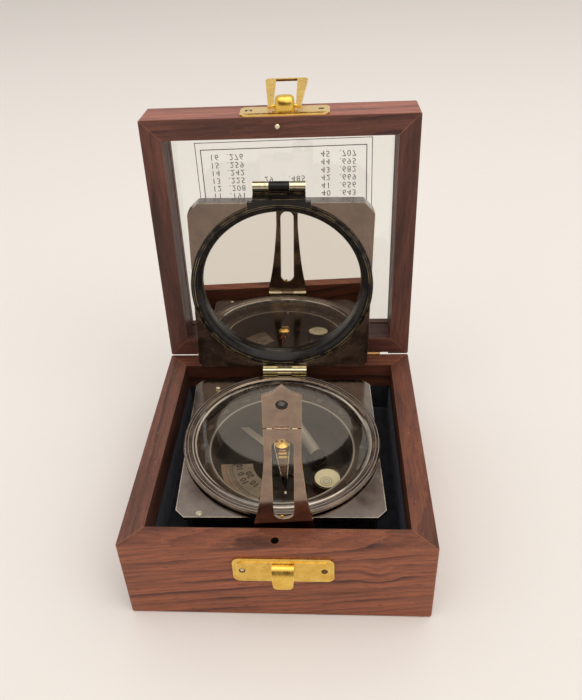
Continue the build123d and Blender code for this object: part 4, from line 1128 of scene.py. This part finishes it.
# %% Room and window
FIGURE_AT = (0.09, -0.88, 0.46)
world = bpy.data.worlds.new("Soft white room")
bpy.context.scene.world = world
world.use_nodes = True
sky = world.node_tree
looking = add(sky, "TexCoord").outputs["Generated"]
towards = vectors(sky, "DOT_PRODUCT", {0: looking, 1: FIGURE_AT}, "Value")
figure = spread(sky, towards, 0.8, 0.9, 0.0, 0.9, interpolation_type="SMOOTHSTEP")
reflected = maths(sky, "SUBTRACT", 1.0, add(sky, "LightPath").outputs["Is Camera Ray"])
room = blend(sky, maths(sky, "MULTIPLY", figure, reflected), linear("fffdfb"), "5a3c30")
background = sky.nodes["Background"]
background.inputs["Strength"].default_value = 0.8
feed(sky, background, {"Color": room})

LAMP_AT, LAMP_AIM = Vector((0.5, -0.75, 2.0)), Vector((0, 0, 0.05))
data = bpy.data.lights.new("window light", "AREA")
data.shape = "SQUARE"
data.size = 2.6
data.energy = 27.0
data.color = linear("fffcf6")[:3]
light = bpy.data.objects.new("window light", data)
light.location = LAMP_AT
light.rotation_euler = (LAMP_AIM - LAMP_AT).to_track_quat("-Z", "Y").to_euler()
bpy.context.scene.collection.objects.link(light)
print("lamp's distance in metres", round((LAMP_AIM - LAMP_AT).length, 2))

# %% [markdown]
# ## Camera
# The camera stands where the photographer stood: its place, tilt and lens were worked out
# from sixty corners measured in the photograph. It looks down by 34 degrees from in front and
# a little to the right, and leans by 3 degrees, as a camera held in the hand does.

# %% Camera
PITCH, YAW, ROLL = (math.radians(angle) for angle in (34.01, 4.90, -3.24))
CAMERA_AT = Vector((17.93, -200.87, 222.28)) * MM
about = Matrix.Rotation(YAW, 3, "Z")
level = about @ Vector((1, 0, 0))
raised = about @ Vector((0, math.sin(PITCH), math.cos(PITCH)))
ahead = about @ Vector((0, math.cos(PITCH), -math.sin(PITCH)))
right = math.cos(ROLL) * level + math.sin(ROLL) * raised
up = math.cos(ROLL) * raised - math.sin(ROLL) * level
camera_data = bpy.data.cameras.new("camera")
camera = bpy.data.objects.new("camera", camera_data)
bpy.context.scene.collection.objects.link(camera)
bpy.context.scene.camera = camera
pose = Matrix((right, up, -ahead)).transposed().to_4x4()
pose.translation = CAMERA_AT
camera.matrix_world = pose
camera_data.sensor_width = 36.0
camera_data.lens = 36.464
camera_data.shift_x = 0.0181
camera_data.shift_y = -0.0339
camera_data.clip_start = 0.01
camera_data.clip_end = 20.0
bpy.context.scene.view_settings.view_transform = "Standard"
print("camera at", [round(v, 4) for v in CAMERA_AT])

# %% [markdown]
# ## End
# The new pieces stay inside the box that the CAD model fills, so that both models have the
# same size.

# %% End
print("scene built")
